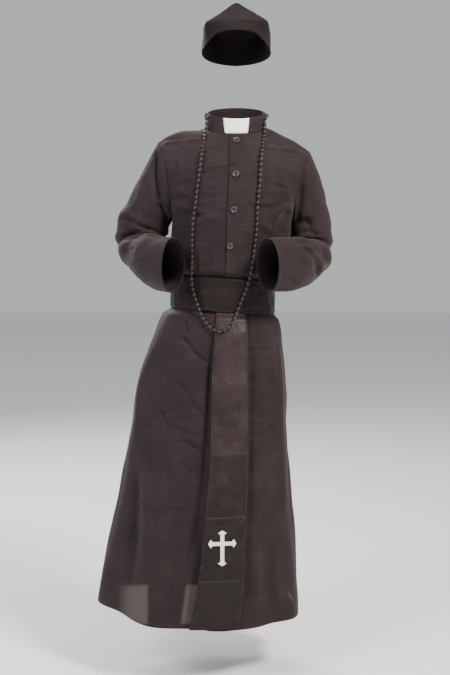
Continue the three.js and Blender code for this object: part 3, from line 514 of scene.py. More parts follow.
def close_at_ends(first, last, count, near):
    """Even places from first to last, with two more close to each end, where a seam turns in."""
    step = (last - first) / count
    even = [first + step * k for k in range(count + 1)]
    return np.array([even[0], even[0] + near, even[0] + 2.2 * near, *even[1:-1],
                     even[-1] - 2.2 * near, even[-1] - near, even[-1]])


body_levels = np.concatenate([[HEM, HEM + 1.5, HEM + 4], np.linspace(HEM + 8, ARMPIT, 280)])
arm_levels = np.concatenate([np.linspace(0, 1, 72)[1:-1], [0.994, 0.998, 1]])


def robe_column(side, facing, j):
    low = robe_point(body_levels, column_turn(side, facing, j, body_levels))
    return np.vstack([low, upper_points(side, facing, j, arm_levels)])


def facing_out(grid, around_it=False):
    """The way out of the cloth at each point of a grid of rows and columns."""
    wide = np.concatenate([grid[:, -2:-1], grid, grid[:, 1:2]], axis=1) if around_it else grid
    across = np.gradient(wide, axis=1)
    across = across[:, 1:-1] if around_it else across
    out = np.cross(across, np.gradient(grid, axis=0))
    return out / np.maximum(np.linalg.norm(out, axis=2, keepdims=True), 1e-9)


def ripples(grid, length, seed):
    """Low uneven waves of about that length, from -1 to 1, alike in neighbouring pieces."""
    chance = np.random.default_rng(seed)
    made = np.zeros(grid.shape[:2])
    for _ in range(9):
        way = chance.normal(size=3)
        way *= 2 * math.pi / (length * chance.uniform(0.7, 1.5) * np.linalg.norm(way))
        made += np.sin(grid @ way + chance.uniform(0, 2 * math.pi))
    return made / 4


def creased(grid, out, seen, creases):
    """How far creases push the cloth out. Each runs from one place to another with a bow to its
    left, wide to each side of its line. A ridge has a hollow beside it on the right, and a valley,
    of negative height, is plain. seen says from which side the table is drawn: front and back
    give x and z, right and left give y and z."""
    axis, sign = {"front": (1, -1), "back": (1, 1), "right": (0, -1), "left": (0, 1)}[seen]
    facing = 1 if out is None else smooth(out[..., axis] * sign * 2.2)
    flat = grid[..., [1 - axis, 2]]
    made = np.zeros(grid.shape[:2])
    for x0, z0, x1, z1, bow, wide, high in creases:
        start, end = np.array([x0, z0], float), np.array([x1, z1], float)
        way = (end - start) / np.linalg.norm(end - start)
        left = np.array([-way[1], way[0]])
        length = np.linalg.norm(end - start)
        run = (flat - start) @ way / length
        off = (flat - start) @ left - 4 * bow * np.clip(run, 0, 1) * (1 - np.clip(run, 0, 1))
        beyond = np.maximum(np.maximum(-run, run - 1), 0) * length
        taper = smooth(run * 4 + 0.15) * smooth((1 - run) * 3 + 0.15) * swell(beyond / wide)
        ridge = swell(off / wide) - (0.55 * swell((off + 1.7 * wide) / (1.2 * wide)) if high > 0 else 0)
        made += high * taper * ridge
    return made * facing


def cloth(name, grid, finish, thick=SHELL, closed=False, thin=None, edges="nesw"):
    """A thin shell through a grid of points in mm. Its rows run up and its columns anticlockwise as
    seen from above, and its thickness lies inside. It keeps each point's place on the flat cloth,
    and its distance to those edges that are hemmed: n at the top, s at the bottom, e and w."""
    rows, columns = grid.shape[:2]
    across = np.cumsum(np.linalg.norm(np.diff(grid, axis=1, prepend=grid[:, :1]), axis=2), axis=1)
    up = np.cumsum(np.linalg.norm(np.diff(grid, axis=0, prepend=grid[:1]), axis=2), axis=0)
    far = np.full((rows, columns), 200.0)
    near = {"s": up, "n": up[-1] - up, "w": across, "e": across[:, -1:] - across}
    for edge in edges:
        far = np.minimum(far, near[edge])
    middle = across - across[:, -1:] / 2
    cut = np.stack([middle, up, far], axis=2) / 1000
    last = columns - 1 if closed else columns
    index = np.arange(rows * last).reshape(rows, last)
    right = np.roll(index, -1, axis=1) if closed else index[:, 1:]
    here = index if closed else index[:, :-1]
    quads = np.stack([here[:-1], right[:-1], right[1:], here[1:]], axis=-1).reshape(-1, 4)
    mesh = bpy.data.meshes.new(name)
    mesh.from_pydata((grid[:, :last] / 1000).reshape(-1, 3).tolist(), [], quads.tolist())
    mesh.shade_smooth()
    place_on_cloth = mesh.attributes.new("cut", "FLOAT_VECTOR", "POINT")
    place_on_cloth.data.foreach_set("vector", cut[:, :last].ravel())
    # thin holds how much painted light shows through one layer here, which the robe's finish paints on.
    sheer = np.zeros((rows, columns)) if thin is None else thin
    mesh.attributes.new("thin", "FLOAT", "POINT").data.foreach_set("value", sheer[:, :last].ravel())
    made = bpy.data.objects.new(name, mesh)
    bpy.context.scene.collection.objects.link(made)
    mesh.materials.append(finish.material)
    shell = made.modifiers.new("shell", "SOLIDIFY")
    shell.thickness = thick / 1000
    shell.offset = -1
    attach(made, "root")
    return made


FRONT_CREASES = [
    # x0, z0, x1, z1, bow, wide, high: shoulders and chest
    (-194, -43, -140, -40, 0, 5, 4.5),
    (-138, -40, -88, -35, 1, 5, 3.9),
    (-202, -44, -184, -66, 0, 5, 3.9),
    (68, -56, 116, -61, 0, 5, 4.2),
    (114, -61, 166, -63, 0, 5, 4.5),
    (-191, -190, -121, -193, 2, 7, -6.4),
    (-95, -131, -38, -113, 3, 4, -3.9),
    (-40, -113, 9, -108, 2, 4, -3.9),
    (-160, -162, -116, -151, 3, 5, -3.6),
    (66, -154, 104, -154, 1, 5, -3.9),
    (100, -154, 133, -170, 2, 5, -4.5),
    (-150, -80, -168, -176, 10, 10, 4.5),
    (-186, -210, -70, -236, 6, 8, 4.2),
    (-30, -240, -140, -262, -4, 9, 3.4),
    (150, -205, 92, -244, -6, 8, 4.2),
    (120, -90, 138, -186, -8, 11, 4.2),
    (60, -250, 130, -290, -6, 9, 3.6),
    (20, -58, 46, -122, 5, 8, 2.2),
    (-60, -64, -82, -128, -6, 8, 2.2),
    (-40, -190, -110, -206, 3, 5, 2.5),
    (24, -196, 100, -204, -3, 6, 2.5),
    (147, -222, 98, -300, -7, 10, -7),
    (128, -262, 112, -340, -3, 9, -4.5),
    # pull towards the sash
    (-128, -300, -118, -392, 4, 8, 3.0),
    (-96, -322, -92, -394, -3, 7, 2.6),
    (-58, -330, -62, -396, 3, 8, 2.4),
    (26, -326, 22, -396, -3, 7, 2.4),
    (62, -318, 54, -394, 4, 8, 2.8),
    (100, -306, 84, -392, -4, 8, 3.0),
    # skirt, drag towards the tail
    (-66, -545, -134, -1215, 15, 9, -11),
    (-146, -552, -114, -587, 3, 6, -6.5),
    (-120, -581, -72, -622, -3, 6, -7),
    (-137, -508, -127, -550, 0, 6, -5),
    (-162, -666, -119, -717, 3, 7, -5.5),
    (-125, -711, -77, -768, -3, 6, -5),
    (-150, -818, -80, -864, 4, 7, -6),
    (-208, -734, -178, -799, 3, 6, -5.5),
    (-174, -788, -82, -822, 3, 6, -3.6),
    (-150, -880, -98, -930, 4, 7, -3.6),
    (-210, -655, -226, -829, -6, 12, -5.5),
    (-226, -809, -222, -985, -5, 11, -5),
    (-199, -818, -179, -1040, 8, 12, -6),
    (-150, -560, -178, -720, -9, 13, 4.0),
    (-246, -520, -282, -770, 10, 15, 4.4),
    (-268, -880, -290, -1240, 6, 13, -7.5),
    (-240, -900, -252, -1270, 8, 15, 4.6),
    (-186, -1040, -200, -1290, -8, 14, 5),
    (-150, -990, -168, -1290, 8, 13, -5),
    (-276, -764, -70, -748, -4, 4, 2.0),
    (-296, -1000, -104, -996, 4, 5, 1.7),
    # skirt, left of the tail as worn
    (38, -545, 24, -1290, 5, 9, -5),
    (52, -560, 66, -800, 8, 13, 3.8),
    (92, -540, 112, -700, -7, 12, 3.8),
    (36, -592, 98, -585, 3, 6, -3.2),
    (41, -812, 106, -779, -3, 7, -3.4),
    (60, -800, 56, -1080, -9, 15, 4.4),
    (112, -760, 126, -1040, 9, 14, 4.2),
    (40, -1060, 44, -1270, 8, 14, 4.6),
    (104, -1080, 118, -1290, -8, 15, 4.6),
    (36, -772, 140, -790, -4, 4, 1.9),
    (44, -1002, 160, -1012, 3, 5, 1.7),
]
SIDE_CREASES = [
    (-60, -560, -86, -860, 12, 14, 3.6),
    (30, -540, 18, -820, -10, 14, 3.4),
    (84, -600, 96, -900, 9, 13, 3.2),
    (-20, -860, -34, -1180, -12, 17, 4.0),
    (60, -900, 70, -1230, 10, 16, 3.8),
    (-70, -300, -50, -392, 5, 9, 2.2),
    (30, -290, 26, -392, -4, 9, 2.2),
]
SLACK_UNDER_ARM = [(0, -244, 0, -330, 0, 15, 5.5)]
ARMHOLE_VALLEYS = {
    "front": [
        (-210, -58, -203, -214, -3, 7, -17),
        (-205, -200, -182, -258, 3, 8, -15),
        (181, -76, 167, -156, 2, 8, -6),
        (170, -146, 159, -270, 2, 8, -10),
    ],
    "back": [
        (-210, -80, -196, -232, 4, 10, -6),
        (188, -92, 160, -238, -4, 10, -6),
    ],
}
TAIL = {
    "z": [-474, -488, -507, -673, -850, -1016, -1182, -1308],
    "middle": [-13, -13, -13, -17, -18, -28, -40, -57],
    "half": [40, 40.5, 41, 47, 49.5, 54, 59.5, 66],
}


def sunk_at_armholes(grid):
    """The grid with the deep valleys where the sleeves hang from the shoulders, alike in the pieces
    that meet there."""
    front = creased(grid, None, "front", ARMHOLE_VALLEYS["front"]) * smooth((8 - grid[..., 1]) / 26)
    behind = creased(grid, None, "back", ARMHOLE_VALLEYS["back"]) * smooth((grid[..., 1] - 8) / 26)
    return grid + np.array([0, 1, 0]) * (behind - front)[..., None]


def clear_of_tail(grid):
    """0 where the tail of the sash lies on the skirt, and 1 away from it."""
    row = follow(TAIL, "z", grid[..., 2])
    beside = np.abs(grid[..., 0] - row["middle"]) - row["half"]
    return 1 - smooth((10 - beside) / 14) * (grid[..., 1] < 0) * smooth((-468 - grid[..., 2]) / 12)


def clear_of_armhole(grid, column):
    """0 along the armhole seam, whose points are that column above the armpit, and 1 away from it."""
    seam = grid[:, [column]]
    far = np.linalg.norm(grid - seam, axis=2)
    return 1 - smooth((seam[..., 2] - ARMPIT + 12) / 12) * (1 - smooth(far / 18))


def draped(grid, out, tables, armhole):
    """The grid with its creases, its low waves and, near the neck and waist, none of them."""
    push = sum(creased(grid, out, seen, table) for seen, table in tables.items())
    push = np.minimum(push, push * clear_of_tail(grid) + 0.4)
    push = push * clear_of_armhole(grid, armhole)
    push = push + 0.9 * ripples(grid, 210, 4) + 0.45 * ripples(grid, 70, 9)
    z = grid[..., 2] + WAIST_LEAN * (grid[..., 0] + 36)
    held = 1 - smooth((58 - np.abs(z - WAIST)) / 10)
    collar = smooth((np.hypot(grid[..., 0], grid[..., 1]) - 92) / 26 + (grid[..., 2] < -60))
    return grid + out * (push * held * collar)[..., None]


def turned_in(grid, out, near_edges, deep=1.3):
    """The grid with its sewn edges turned in, so that two pieces meet in a narrow groove."""
    grid = grid.copy()
    rows, columns = np.ogrid[: grid.shape[0], : grid.shape[1]]
    last_row, last_column = grid.shape[0] - 1, grid.shape[1] - 1
    for edge in near_edges:
        from_edge = {"s": rows, "n": last_row - rows, "w": columns, "e": last_column - columns}
        sink = np.select([from_edge[edge] == 0, from_edge[edge] == 1], [deep, deep * 0.35], 0)
        grid -= out * sink[..., None]
    return grid


def lit_through_patches(grid):
    """How much paler to paint the cloth, as painted light coming through it, where one layer hangs alone
    below the back's hem.
    """
    x, z = grid[..., 0], grid[..., 2]
    front = smooth((-grid[..., 1] - 20) / 30)
    top = -1192 + 0.3 * (x + 236)
    corner = smooth((x + 322) / 46) * smooth((-229 - x) / 7) * smooth((top - z) / 10)
    beside = smooth((x + 136 - 0.13 * (z + 1200)) / 7) * smooth((-1193 - z) / 9) * smooth((-60 - x) / 9)
    slit = smooth(1 - np.hypot((x - 146 + 0.5 * (z + 1252)) / 6, (z + 1252) / 26))
    return np.clip(corner + beside + slit, 0, 1) * front * smooth((z - HEM - 14) / 8)


def front_panel(name, first, last, lifted):
    js = close_at_ends(first, last, round((last - first) * 7), 0.05)
    columns = [robe_column(LEFT if j >= 0 else RIGHT, 1, abs(j)) for j in js]
    grid = np.stack(columns, axis=1)
    out = facing_out(grid)
    thin = lit_through_patches(grid)
    tables = {"front": FRONT_CREASES, "right": SIDE_CREASES, "left": SIDE_CREASES + SLACK_UNDER_ARM}
    grid = draped(grid, out, tables, -1 if lifted else 0)
    lift = (CLOTH + LAYER_GAP) * smooth(2 - js) if lifted else -0.6 * smooth(2 + js)
    grid = sunk_at_armholes(grid + out * lift[None, :, None])
    sewn, hemmed = ("e", "sw") if lifted else ("w", "se")
    return cloth(name, turned_in(grid, out, sewn), robe_cloth, thin=thin, edges=hemmed)


front_left = front_panel("front_left_cloth", -1, FRONT_COLUMNS, True)
front_right = front_panel("front_right_cloth", -FRONT_COLUMNS, 1, False)
fronts = (front_left, "robe_front_left", 0.35), (front_right, "robe_front_right", 0.44)
for piece, node, area in fronts:
    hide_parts(node)

# Robe back: two panels of the shell fabric, sewn together down the middle of the back and to the
# fronts along the sides and shoulders. Most of the skirt's fullness hangs here, in deep soft folds.
BACK_CREASES = [
    (-8, -60, 70, -110, 8, 10, 1.6),
    (6, -64, -78, -116, -8, 10, 1.6),
    (150, -196, 40, -214, 7, 9, 2.2),
    (-168, -186, -54, -212, -7, 9, 2.4),
    (120, -240, 30, -262, 5, 9, 1.6),
    (-140, -246, -40, -270, -5, 9, 1.7),
    (96, -306, 84, -392, -5, 9, 2.2),
    (44, -322, 38, -394, 4, 8, 1.7),
    (-20, -312, -24, -394, 4, 9, 2.0),
    (-74, -326, -70, -394, -4, 8, 1.7),
    (-122, -300, -112, -392, 4, 8, 2.1),
    (92, -536, 118, -800, -9, 13, 3.4),
    (30, -548, 42, -840, 9, 14, 3.2),
    (-44, -540, -60, -800, -8, 13, 3.4),
    (-116, -548, -140, -830, 10, 13, 3.2),
    (-190, -560, -226, -850, -9, 14, 3.4),
    (116, -860, 128, -1240, 9, 17, 4.2),
    (26, -880, 14, -1250, -10, 17, 4.0),
    (-80, -850, -96, -1240, 10, 17, 4.2),
    (-180, -880, -206, -1250, -9, 17, 4.0),
    (-262, -764, 128, -748, 4, 5, 1.4),
    (-290, -1004, 150, -996, -4, 6, 1.3),
]


def back_panel(name, side):
    js = close_at_ends(0, BACK_COLUMNS, 70, 0.07)
    js = js[::-1] if side is LEFT else js
    grid = np.stack([robe_column(side, -1, j) for j in js], axis=1)
    out = facing_out(grid)
    if side is LEFT:
        tables = {"back": BACK_CREASES, "left": SIDE_CREASES + SLACK_UNDER_ARM}
    else:
        tables = {"back": BACK_CREASES, "right": SIDE_CREASES}
    grid = sunk_at_armholes(draped(grid, out, tables, 0 if side is LEFT else -1))
    return cloth(name, turned_in(grid, out, "ew"), robe_cloth, edges="s")


back_left = back_panel("back_left_cloth", LEFT)
back_right = back_panel("back_right_cloth", RIGHT)
for piece, node in ((back_left, "robe_back_left"), (back_right, "robe_back_right")):
    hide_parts(node)

# Sleeves: one panel each of the shell fabric, sewn into the armhole, closed along the underside and
# bent at the elbow, as when worn. The cuffs are plain, wide and hemmed, and stand open to the front.
SLEEVES = {
    "right": {
        "t": [0.12, 0.25, 0.38, 0.5, 0.6, 0.7, 0.8, 0.9, 1],
        "at": [(-205, 2, -171), (-221, 4, -200), (-237, 6, -230), (-252, 10, -264), (-256, 4, -302),
               (-247, -38, -330), (-228, -98, -347), (-195, -148, -359), (-162, -190, -362)],
        "top": [(0, -61, 4), (-2, -59, 4), (-2, -58, 0), (0, -58, -8), (12, -50, 22),
                (12, -34, 48), (5, -12, 63), (3, -6, 71), (2, -4, 71)],
        "side": [(-29, 0, 86), (-40, 0, 64), (-55, 2, 40), (-68, 2, 21), (-68, 6, 0),
                 (-57, -20, 0), (-42, -26, 0), (-36, -30, 0), (-28, -32, 0)],
    },
    "left": {
        "t": [0.12, 0.25, 0.38, 0.5, 0.6, 0.7, 0.8, 0.9, 1],
        "at": [(181.5, 2, -181), (188, 4, -203), (195.3, 6, -233), (201.5, 10, -272), (201.5, 4, -314),
               (194.5, -38, -344), (170, -98, -356), (128, -148, -361), (79, -190, -361)],
        "top": [(0, -61, 4), (2, -59, 4), (2, -58, 0), (0, -58, -8), (-10, -50, 22),
                (-12, -34, 48), (-5, -12, 64), (-3, -6, 70), (-2, -4, 69)],
        "side": [(31.5, 0, 81), (39, 0, 66), (47.7, 2, 44), (54.5, 2, 22), (57.5, 6, 0),
                 (52.5, -20, 0), (41, -26, 0), (35, -30, 0), (27, -32, 0)],
    },
}
DRIFT_ENDS = 0.42
SLEEVE_FOLDS = {
    "t": [0.4, 0.545, 0.58, 0.615, 0.65, 0.685, 0.72, 0.83],
    "turn": [40, -45, 70, 60, -60, 120, 80, 60],
    "spread": [60, 55, 60, 65, 50, 60, 70, 80],
    "reach": [0.04, 0.022, 0.024, 0.024, 0.026, 0.026, 0.03, 0.045],
    "depth": [-5, -7, 5, -8, 5, 5, -6, 4],
}
SLEEVE_CREASES = {
    "right": [
        (-316, -238, -266, -257, 2, 7, -7),
        (-272, -255, -207, -281, -2, 7, -7.5),
        (-306, -300, -232, -281, 3, 7, -7),
        (-237, -281, -186, -294, 2, 7, -6.5),
        (-310, -273, -249, -270, 0, 7, 3.6),
        (-302, -324, -262, -316, -4, 6, -4),
        (-225, -87, -236, -222, 5, 11, -4.5),
        (-186, -120, -226, -232, -10, 10, 3.0),
        (-250, -150, -288, -226, 8, 9, 3.0),
        (-286, -372, -214, -338, 6, 10, 3.0),
        (-250, -410, -196, -372, -6, 10, 2.8),
    ],
    "left": [
        (150, -299, 197, -310, 1, 7, -8.5),
        (191, -309, 243, -362, 7, 6, -9),
        (160, -308, 202, -348, 5, 5, -7),
        (198, -346, 213, -414, 6, 6, -7),
        (172, -312, 208, -330, 4, 5, 5),
        (208, -340, 224, -392, 5, 5, 5),
        (160, -250, 210, -252, -4, 9, -7),
        (184, -238, 197, -280, 2, 9, -7),
        (170, -278, 218, -286, 3, 7, -6.5),
        (181, -100, 179, -228, -4, 11, -4.5),
        (206, -110, 226, -226, -8, 10, 3.0),
        (168, -356, 246, -378, 6, 10, 3.0),
        (140, -392, 206, -414, -6, 10, 2.8),
    ],
}
SLEEVE_BACK_CREASES = {
    "right": [
        (-210, -90, -268, -240, -10, 12, 3.0),
        (-180, -150, -232, -270, 9, 11, 2.6),
        (-296, -270, -216, -296, 7, 8, 3.2),
        (-294, -312, -220, -324, -6, 8, 2.8),
    ],
    "left": [
        (204, -100, 240, -246, 10, 12, 3.0),
        (168, -160, 206, -270, -9, 11, 2.6),
        (248, -276, 166, -300, -7, 8, 3.2),
        (244, -322, 164, -336, 6, 8, 2.8),
    ],
}


def sleeve_point(table, t, turn):
    ring = follow(table, "t", t)
    sin, cos = np.sin(np.radians(turn))[..., None], np.cos(np.radians(turn))[..., None]
    out = ring["top"] * cos + ring["side"] * sin
    depth = np.zeros(np.shape(turn))
    for f in rows_of(SLEEVE_FOLDS):
        reach = swell((t - f["t"]) / f["reach"])
        depth = depth + f["depth"] * swell(around(turn, f["turn"]) / f["spread"]) * reach
    return ring["at"] + out * (1 + depth / np.linalg.norm(out, axis=-1))[..., None]


def sleeve_piece(name, side, hand):
    table = {key: list(column) for key, column in SLEEVES[hand].items()}
    tip, under = np.array(side["tip"], float), np.array(side["under"], float)
    table["t"].insert(0, 0)
    table["at"].insert(0, (tip + under) / 2)
    table["top"].insert(0, (0, -ARMHOLE_DEPTH, 0))
    table["side"].insert(0, (tip - under) / 2)
    v = np.linspace(0, 1, 56)
    before = upper_points(side, 1, FRONT_COLUMNS, v)
    behind = upper_points(side, -1, BACK_COLUMNS, v)[::-1][1:]
    ring = np.vstack([before, behind])
    turns = np.concatenate([-90 + (SEAM_TURN + 90) * v, SEAM_TURN + (270 - SEAM_TURN) * v[1:]])
    drift = ring - sleeve_point(table, np.zeros(len(turns)), turns)
    ts = np.concatenate([[0, 0.004, 0.01], np.linspace(0.02, 0.985, 112), [0.99, 0.995, 1]])
    rows = []
    for t in ts:
        row = sleeve_point(table, np.full(len(turns), t), turns)
        rows.append(row + drift * (1 - smooth(t / DRIFT_ENDS)))
    grid = np.stack(rows)
    if side is LEFT:
        grid = grid[:, ::-1]
    out = facing_out(grid, True)
    tables = {"front": SLEEVE_CREASES[hand], "back": SLEEVE_BACK_CREASES[hand]}
    push = sum(creased(grid, out, seen, table) for seen, table in tables.items())
    push = push + 1.0 * ripples(grid, 110, 5) + 0.5 * ripples(grid, 45, 8)
    push = push * smooth(ts[:, None] / 0.03)
    seam = np.zeros(grid.shape[1])
    seam[[0, -1]] = 1.1
    grid = sunk_at_armholes(grid + out * (push - seam)[..., None])
    return cloth(name, turned_in(grid, out, "s"), robe_cloth, closed=True, edges="n")


sleeve_left = sleeve_piece("sleeve_left_cloth", LEFT, "left")
sleeve_right = sleeve_piece("sleeve_right_cloth", RIGHT, "right")
for piece, node in ((sleeve_left, "sleeve_left"), (sleeve_right, "sleeve_right")):
    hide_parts(node)

# Stand collar: a doubled, stiffened strip of the shell fabric that rises 41 mm from the neck seam
# and leans in a little. Its ends slope away from a gap over the white insert.
COLLAR_HEIGHT, COLLAR_LEAN, COLLAR_CLEAR, COLLAR_WALL = 41, 5, 0.8, 2.4
GAP_LOW, GAP_HIGH = 31, 38


def collar_turn(share, gap):
    start = np.degrees(np.arcsin(gap / NECK_HALF))
    return start + share * (360 - 2 * start)


up_share = np.concatenate([[0, 0.02], np.linspace(0.06, 0.94, 12), [0.98, 1]])[:, None]
round_share = close_at_ends(0, 1, 120, 0.004)[None, :]
collar_grid = neck_point(
    collar_turn(round_share, GAP_LOW + (GAP_HIGH - GAP_LOW) * up_share),
    -COLLAR_LEAN * up_share - 0.4 * swell((up_share - 1) / 0.04),
    COLLAR_CLEAR + COLLAR_HEIGHT * up_share,
)
collar_out = facing_out(collar_grid)
collar_grid = collar_grid + collar_out * (0.5 * ripples(collar_grid, 60, 12))[..., None]
collar_piece = cloth("collar_cloth", collar_grid, robe_cloth, thick=2.2, edges="new")
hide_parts("collar")

# Collar insert: a strip of smooth white card-stiff cotton that slips in behind the collar's gap and
# reaches a little way under both ends. Its top lies about 2 mm below the collar's own edge.
WHITE = (0.93, 0.93, 0.94, 1)
WHITE_SHADE = (0.8, 0.8, 0.84, 1)
INSERT_REACH, INSERT_DROP = 50, 2


def white_fabric(name, pitch):
    made = Finish(name, {"Sheen Weight": 0.1, "Specular IOR Level": 0.35})
    place, across, up, _ = made.cut()
    soft = made.noise(place, (1, 1, 1), 60.0, 3.0)
    weave = plain_weave(across, up, pitch)
    made.colour(made.mixed(soft.between(0.25, 0.75) * 0.6 + weave * 0.06, WHITE, WHITE_SHADE))
    made.rough(0.62 + soft * 0.1)
    made.relief(weave * 0.00004 + soft * 0.0003)
    return made


white_cotton = white_fabric("white_cotton", 0.0006)
insert_turn = math.degrees(math.asin(INSERT_REACH / NECK_HALF))
insert_up = np.linspace(0, 1, 14)[:, None]
insert_grid = neck_point(
    np.linspace(-insert_turn, insert_turn, 50)[None, :],
    -(COLLAR_WALL + 0.9) - COLLAR_LEAN * insert_up,
    1 + (COLLAR_HEIGHT - INSERT_DROP) * insert_up,
)
insert_piece = cloth("insert_cotton", insert_grid, white_cotton, thick=1.4)
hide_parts("collar_insert")

# Sash: a band of black satin round the waist over the robe, with a flat panel laid on in front, and a
# long tail of the same satin that hangs from under it to the hem and keeps the creases of its packing.
# Each section of the tail between two creases is painted lighter or darker, as painted light for how it
# tilts to the lamps, and a thin painted highlight runs along each crease.
SATIN_DARK = (0.0076, 0.0043, 0.0042, 1)
SATIN_PALE = (0.0282, 0.0176, 0.0190, 1)
SATIN_SHEEN_TINT = (0.8, 0.66, 0.7, 1)
SATIN_STITCH = 0.0038
BAND_TOP, BAND_LOW = -399, -487
BAND_CLEAR, OVER_TAIL, SASH_CLOTH = 0.9, 5, 1.6
TAIL_FREE, TAIL_WALL, TAIL_EASE = -490, 1.4, 5
CREASE_RISE, CREASE_REACH = 2.2, 26
PACKING = [-1182, -1016, -850, -673]
# How much lighter each section of the tail above a packing crease is painted, as painted light for its
# tilt.
PACKED_PAINTED_LIGHT = [0.12, 0.2, 0.28, 0.16]
PANEL_HALF, PANEL_RISE = 61, 0.9
TAIL_FOOT = -1308


def satin_fabric(name):
    gloss = {"Sheen Weight": 0.05, "Sheen Tint": SATIN_SHEEN_TINT, "Specular IOR Level": 0.22}
    made = Finish(name, gloss)
    place, across, up, edge = made.cut()
    float_threads = made.noise(place, (900, 30, 1), 1.0, 2.0)
    cloudy = made.noise(place, (1, 1.4, 1), 18.0, 3.0)
    crumple = made.noise(place, (1, 1, 1), 95.0, 4.0)
    broad = made.noise(place, (1, 1, 1), 26.0, 2.0)
    stitch = stitches(across, up, edge, SATIN_STITCH, 2400)
    seam = edge.between(0.0042, 0.0032)
    share = 0.1 + (float_threads - 0.5) * 0.4 + (cloudy - 0.5) * 0.8
    share = share + (crumple - 0.5) * 0.55 + seam * 0.12
    # Painted light: each section above a packing crease is painted a step lighter or darker for how it
    # tilts to the lamps.
    for level, tone in zip(PACKING, PACKED_PAINTED_LIGHT):
        above = (level - TAIL_FOOT) / 1000
        # A thin painted highlight along each packing crease, where the fold would catch the light.
        wear_and_highlight = abs(up - above - 0.0015).between(0.0028, 0.0008)
        share = share + up.between(above - 0.002, above) * tone + wear_and_highlight * 0.55
    made.colour(made.mixed((share - stitch * 0.6).between(0.0, 1.1), SATIN_DARK, SATIN_PALE))
    made.rough(0.42 + (cloudy - 0.5) * 0.3 + (float_threads - 0.5) * 0.08)
    height = float_threads * 0.00003 + crumple * 0.0009 + broad * 0.0028
    made.relief(height + seam * 0.0004 - stitch * 0.0005)
    return made


satin = satin_fabric("satin")
band_up = np.concatenate([[0, 0.03], np.linspace(0.07, 0.93, 20), [0.97, 1]])[:, None]
band_turn = np.linspace(-180, 180, 361)[None, :]
band_front = smooth((32 - np.abs(band_turn - 9)) / 14) * OVER_TAIL
band_level = BAND_LOW + (BAND_TOP - BAND_LOW) * band_up
band_grid = robe_point(band_level, band_turn, BAND_CLEAR + band_front + SASH_CLOTH, False)
band_out = facing_out(band_grid, True)
band_push = 0.7 * ripples(band_grid, 60, 21) + 0.5 * np.cos(np.radians(band_turn) * 23 + 4 * band_up)
band_push = band_push + 0.5 * swell((band_up - 0.04) / 0.04) - 0.6 * swell((band_up - 0.11) / 0.03)
waist_middle = float(follow(SECTIONS, "z", WAIST)["middle"])
beside = np.abs(band_grid[..., 0] - waist_middle)
band_push = band_push - PANEL_RISE * smooth((beside - PANEL_HALF) / 3) * (band_grid[..., 1] < 0)
band_push[:, [0, -1]] -= 1.0
band_grid = band_grid + band_out * band_push[..., None]
band_piece = cloth("sash_band_satin", band_grid, satin, thick=1.2, closed=True, edges="ns")
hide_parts("sash_band")


def robe_front_y(x, level):
    tilt = follow(SECTIONS, "z", level)
    s = follow(SECTIONS, "z", level + tilt["lean"] * (x - tilt["middle"]))
    share = np.minimum(np.abs(x - s["middle"]) / s["half"], 0.98)
    return -s["front"] * (1 - share ** s["square"]) ** (1 / s["square"])


def tail_point(share, z, ease=0.0):
    share, z = np.broadcast_arrays(np.asarray(share, float), np.asarray(z, float))
    row = follow(TAIL, "z", z)
    x = row["middle"] + (2 * share - 1) * row["half"]
    rise = sum(CREASE_RISE * swell((z - c) / CREASE_REACH) + 0.9 * swell((z - c) / 3) for c in PACKING)
    free = smooth((TAIL_FREE - z) / 60)
    flare = 2.2 * swell((z + WAIST_LEAN * x + 501) / 9)
    under = robe_front_y(x, z) - CLOTH - LAYER_GAP - 0.7 - flare - TAIL_WALL
    return np.stack([x, under - free * (TAIL_EASE + rise) - ease, z], axis=-1)


tail_z = np.linspace(TAIL_FOOT, TAIL["z"][0], 230)[:, None]
tail_grid = tail_point(close_at_ends(0, 1, 26, 0.02)[None, :], tail_z)
tail_out = facing_out(tail_grid)
tail_push = 0.7 * ripples(tail_grid, 75, 31) + 0.35 * ripples(tail_grid, 30, 32)
tail_push = tail_push * smooth((TAIL_FREE - 30 - tail_z) / 60)
tail_grid = tail_grid + tail_out * tail_push[..., None]
tail_piece = cloth("sash_tail_satin", tail_grid, satin, thick=1.2, edges="swe")
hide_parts("sash_tail")

# Cross: white thread embroidered as two bars with flared, pointed ends, and sewn on the tail. The
# upright and the beam each stand up a little in the middle, with rows of thread 1.1 mm apart.
CROSS_X, CROSS_Z = -37, -1085
CROSS_UP, CROSS_DOWN, CROSS_ACROSS = 34, 57, 36
ARM_ALONG, ARM_HALF = [0, 6.5, 10.5], [1.5, 11.5, 5.2]
CROSS_EASE = 1.4
EMBROIDERY_PITCH = 0.0011


def embroidery(name):
    made = Finish(name, {"Sheen Weight": 0.25, "Specular IOR Level": 0.45})
    place, across, up, _ = made.cut()
    lines = ((up + across * 0.15) * (2 * math.pi / EMBROIDERY_PITCH)).wave()
    soft = made.noise(place, (1, 1, 1), 120.0, 3.0)
    made.colour(made.mixed((lines * 0.35 + soft).between(0.2, 1.1), WHITE_SHADE, WHITE))
    made.rough(0.55 + soft * 0.1)
    made.relief(lines * 0.00016 + soft * 0.0003)
    return made


def tail_across(x, z, ease):
    row = follow(TAIL, "z", z)
    return tail_point((x - row["middle"] + row["half"]) / (2 * row["half"]), z, ease)


def cross_bar(first, last, place):
    s = np.unique(np.concatenate([np.linspace(0, 12, 22), np.linspace(12, last - first - 12, 40),
                                  last - first - np.linspace(0, 12, 22)]))
    half = np.interp(np.minimum(s, last - first - s), ARM_ALONG, ARM_HALF)[:, None]
    u = np.linspace(-1, 1, 13)[None, :]
    dome = 0.9 * np.sqrt(1 - (0.96 * u) ** 2)
    return place(first + s[:, None] + 0 * u, u * half, CROSS_EASE + dome)


def upright(s, half, ease):
    return tail_across(CROSS_X + half, CROSS_Z + s, ease)


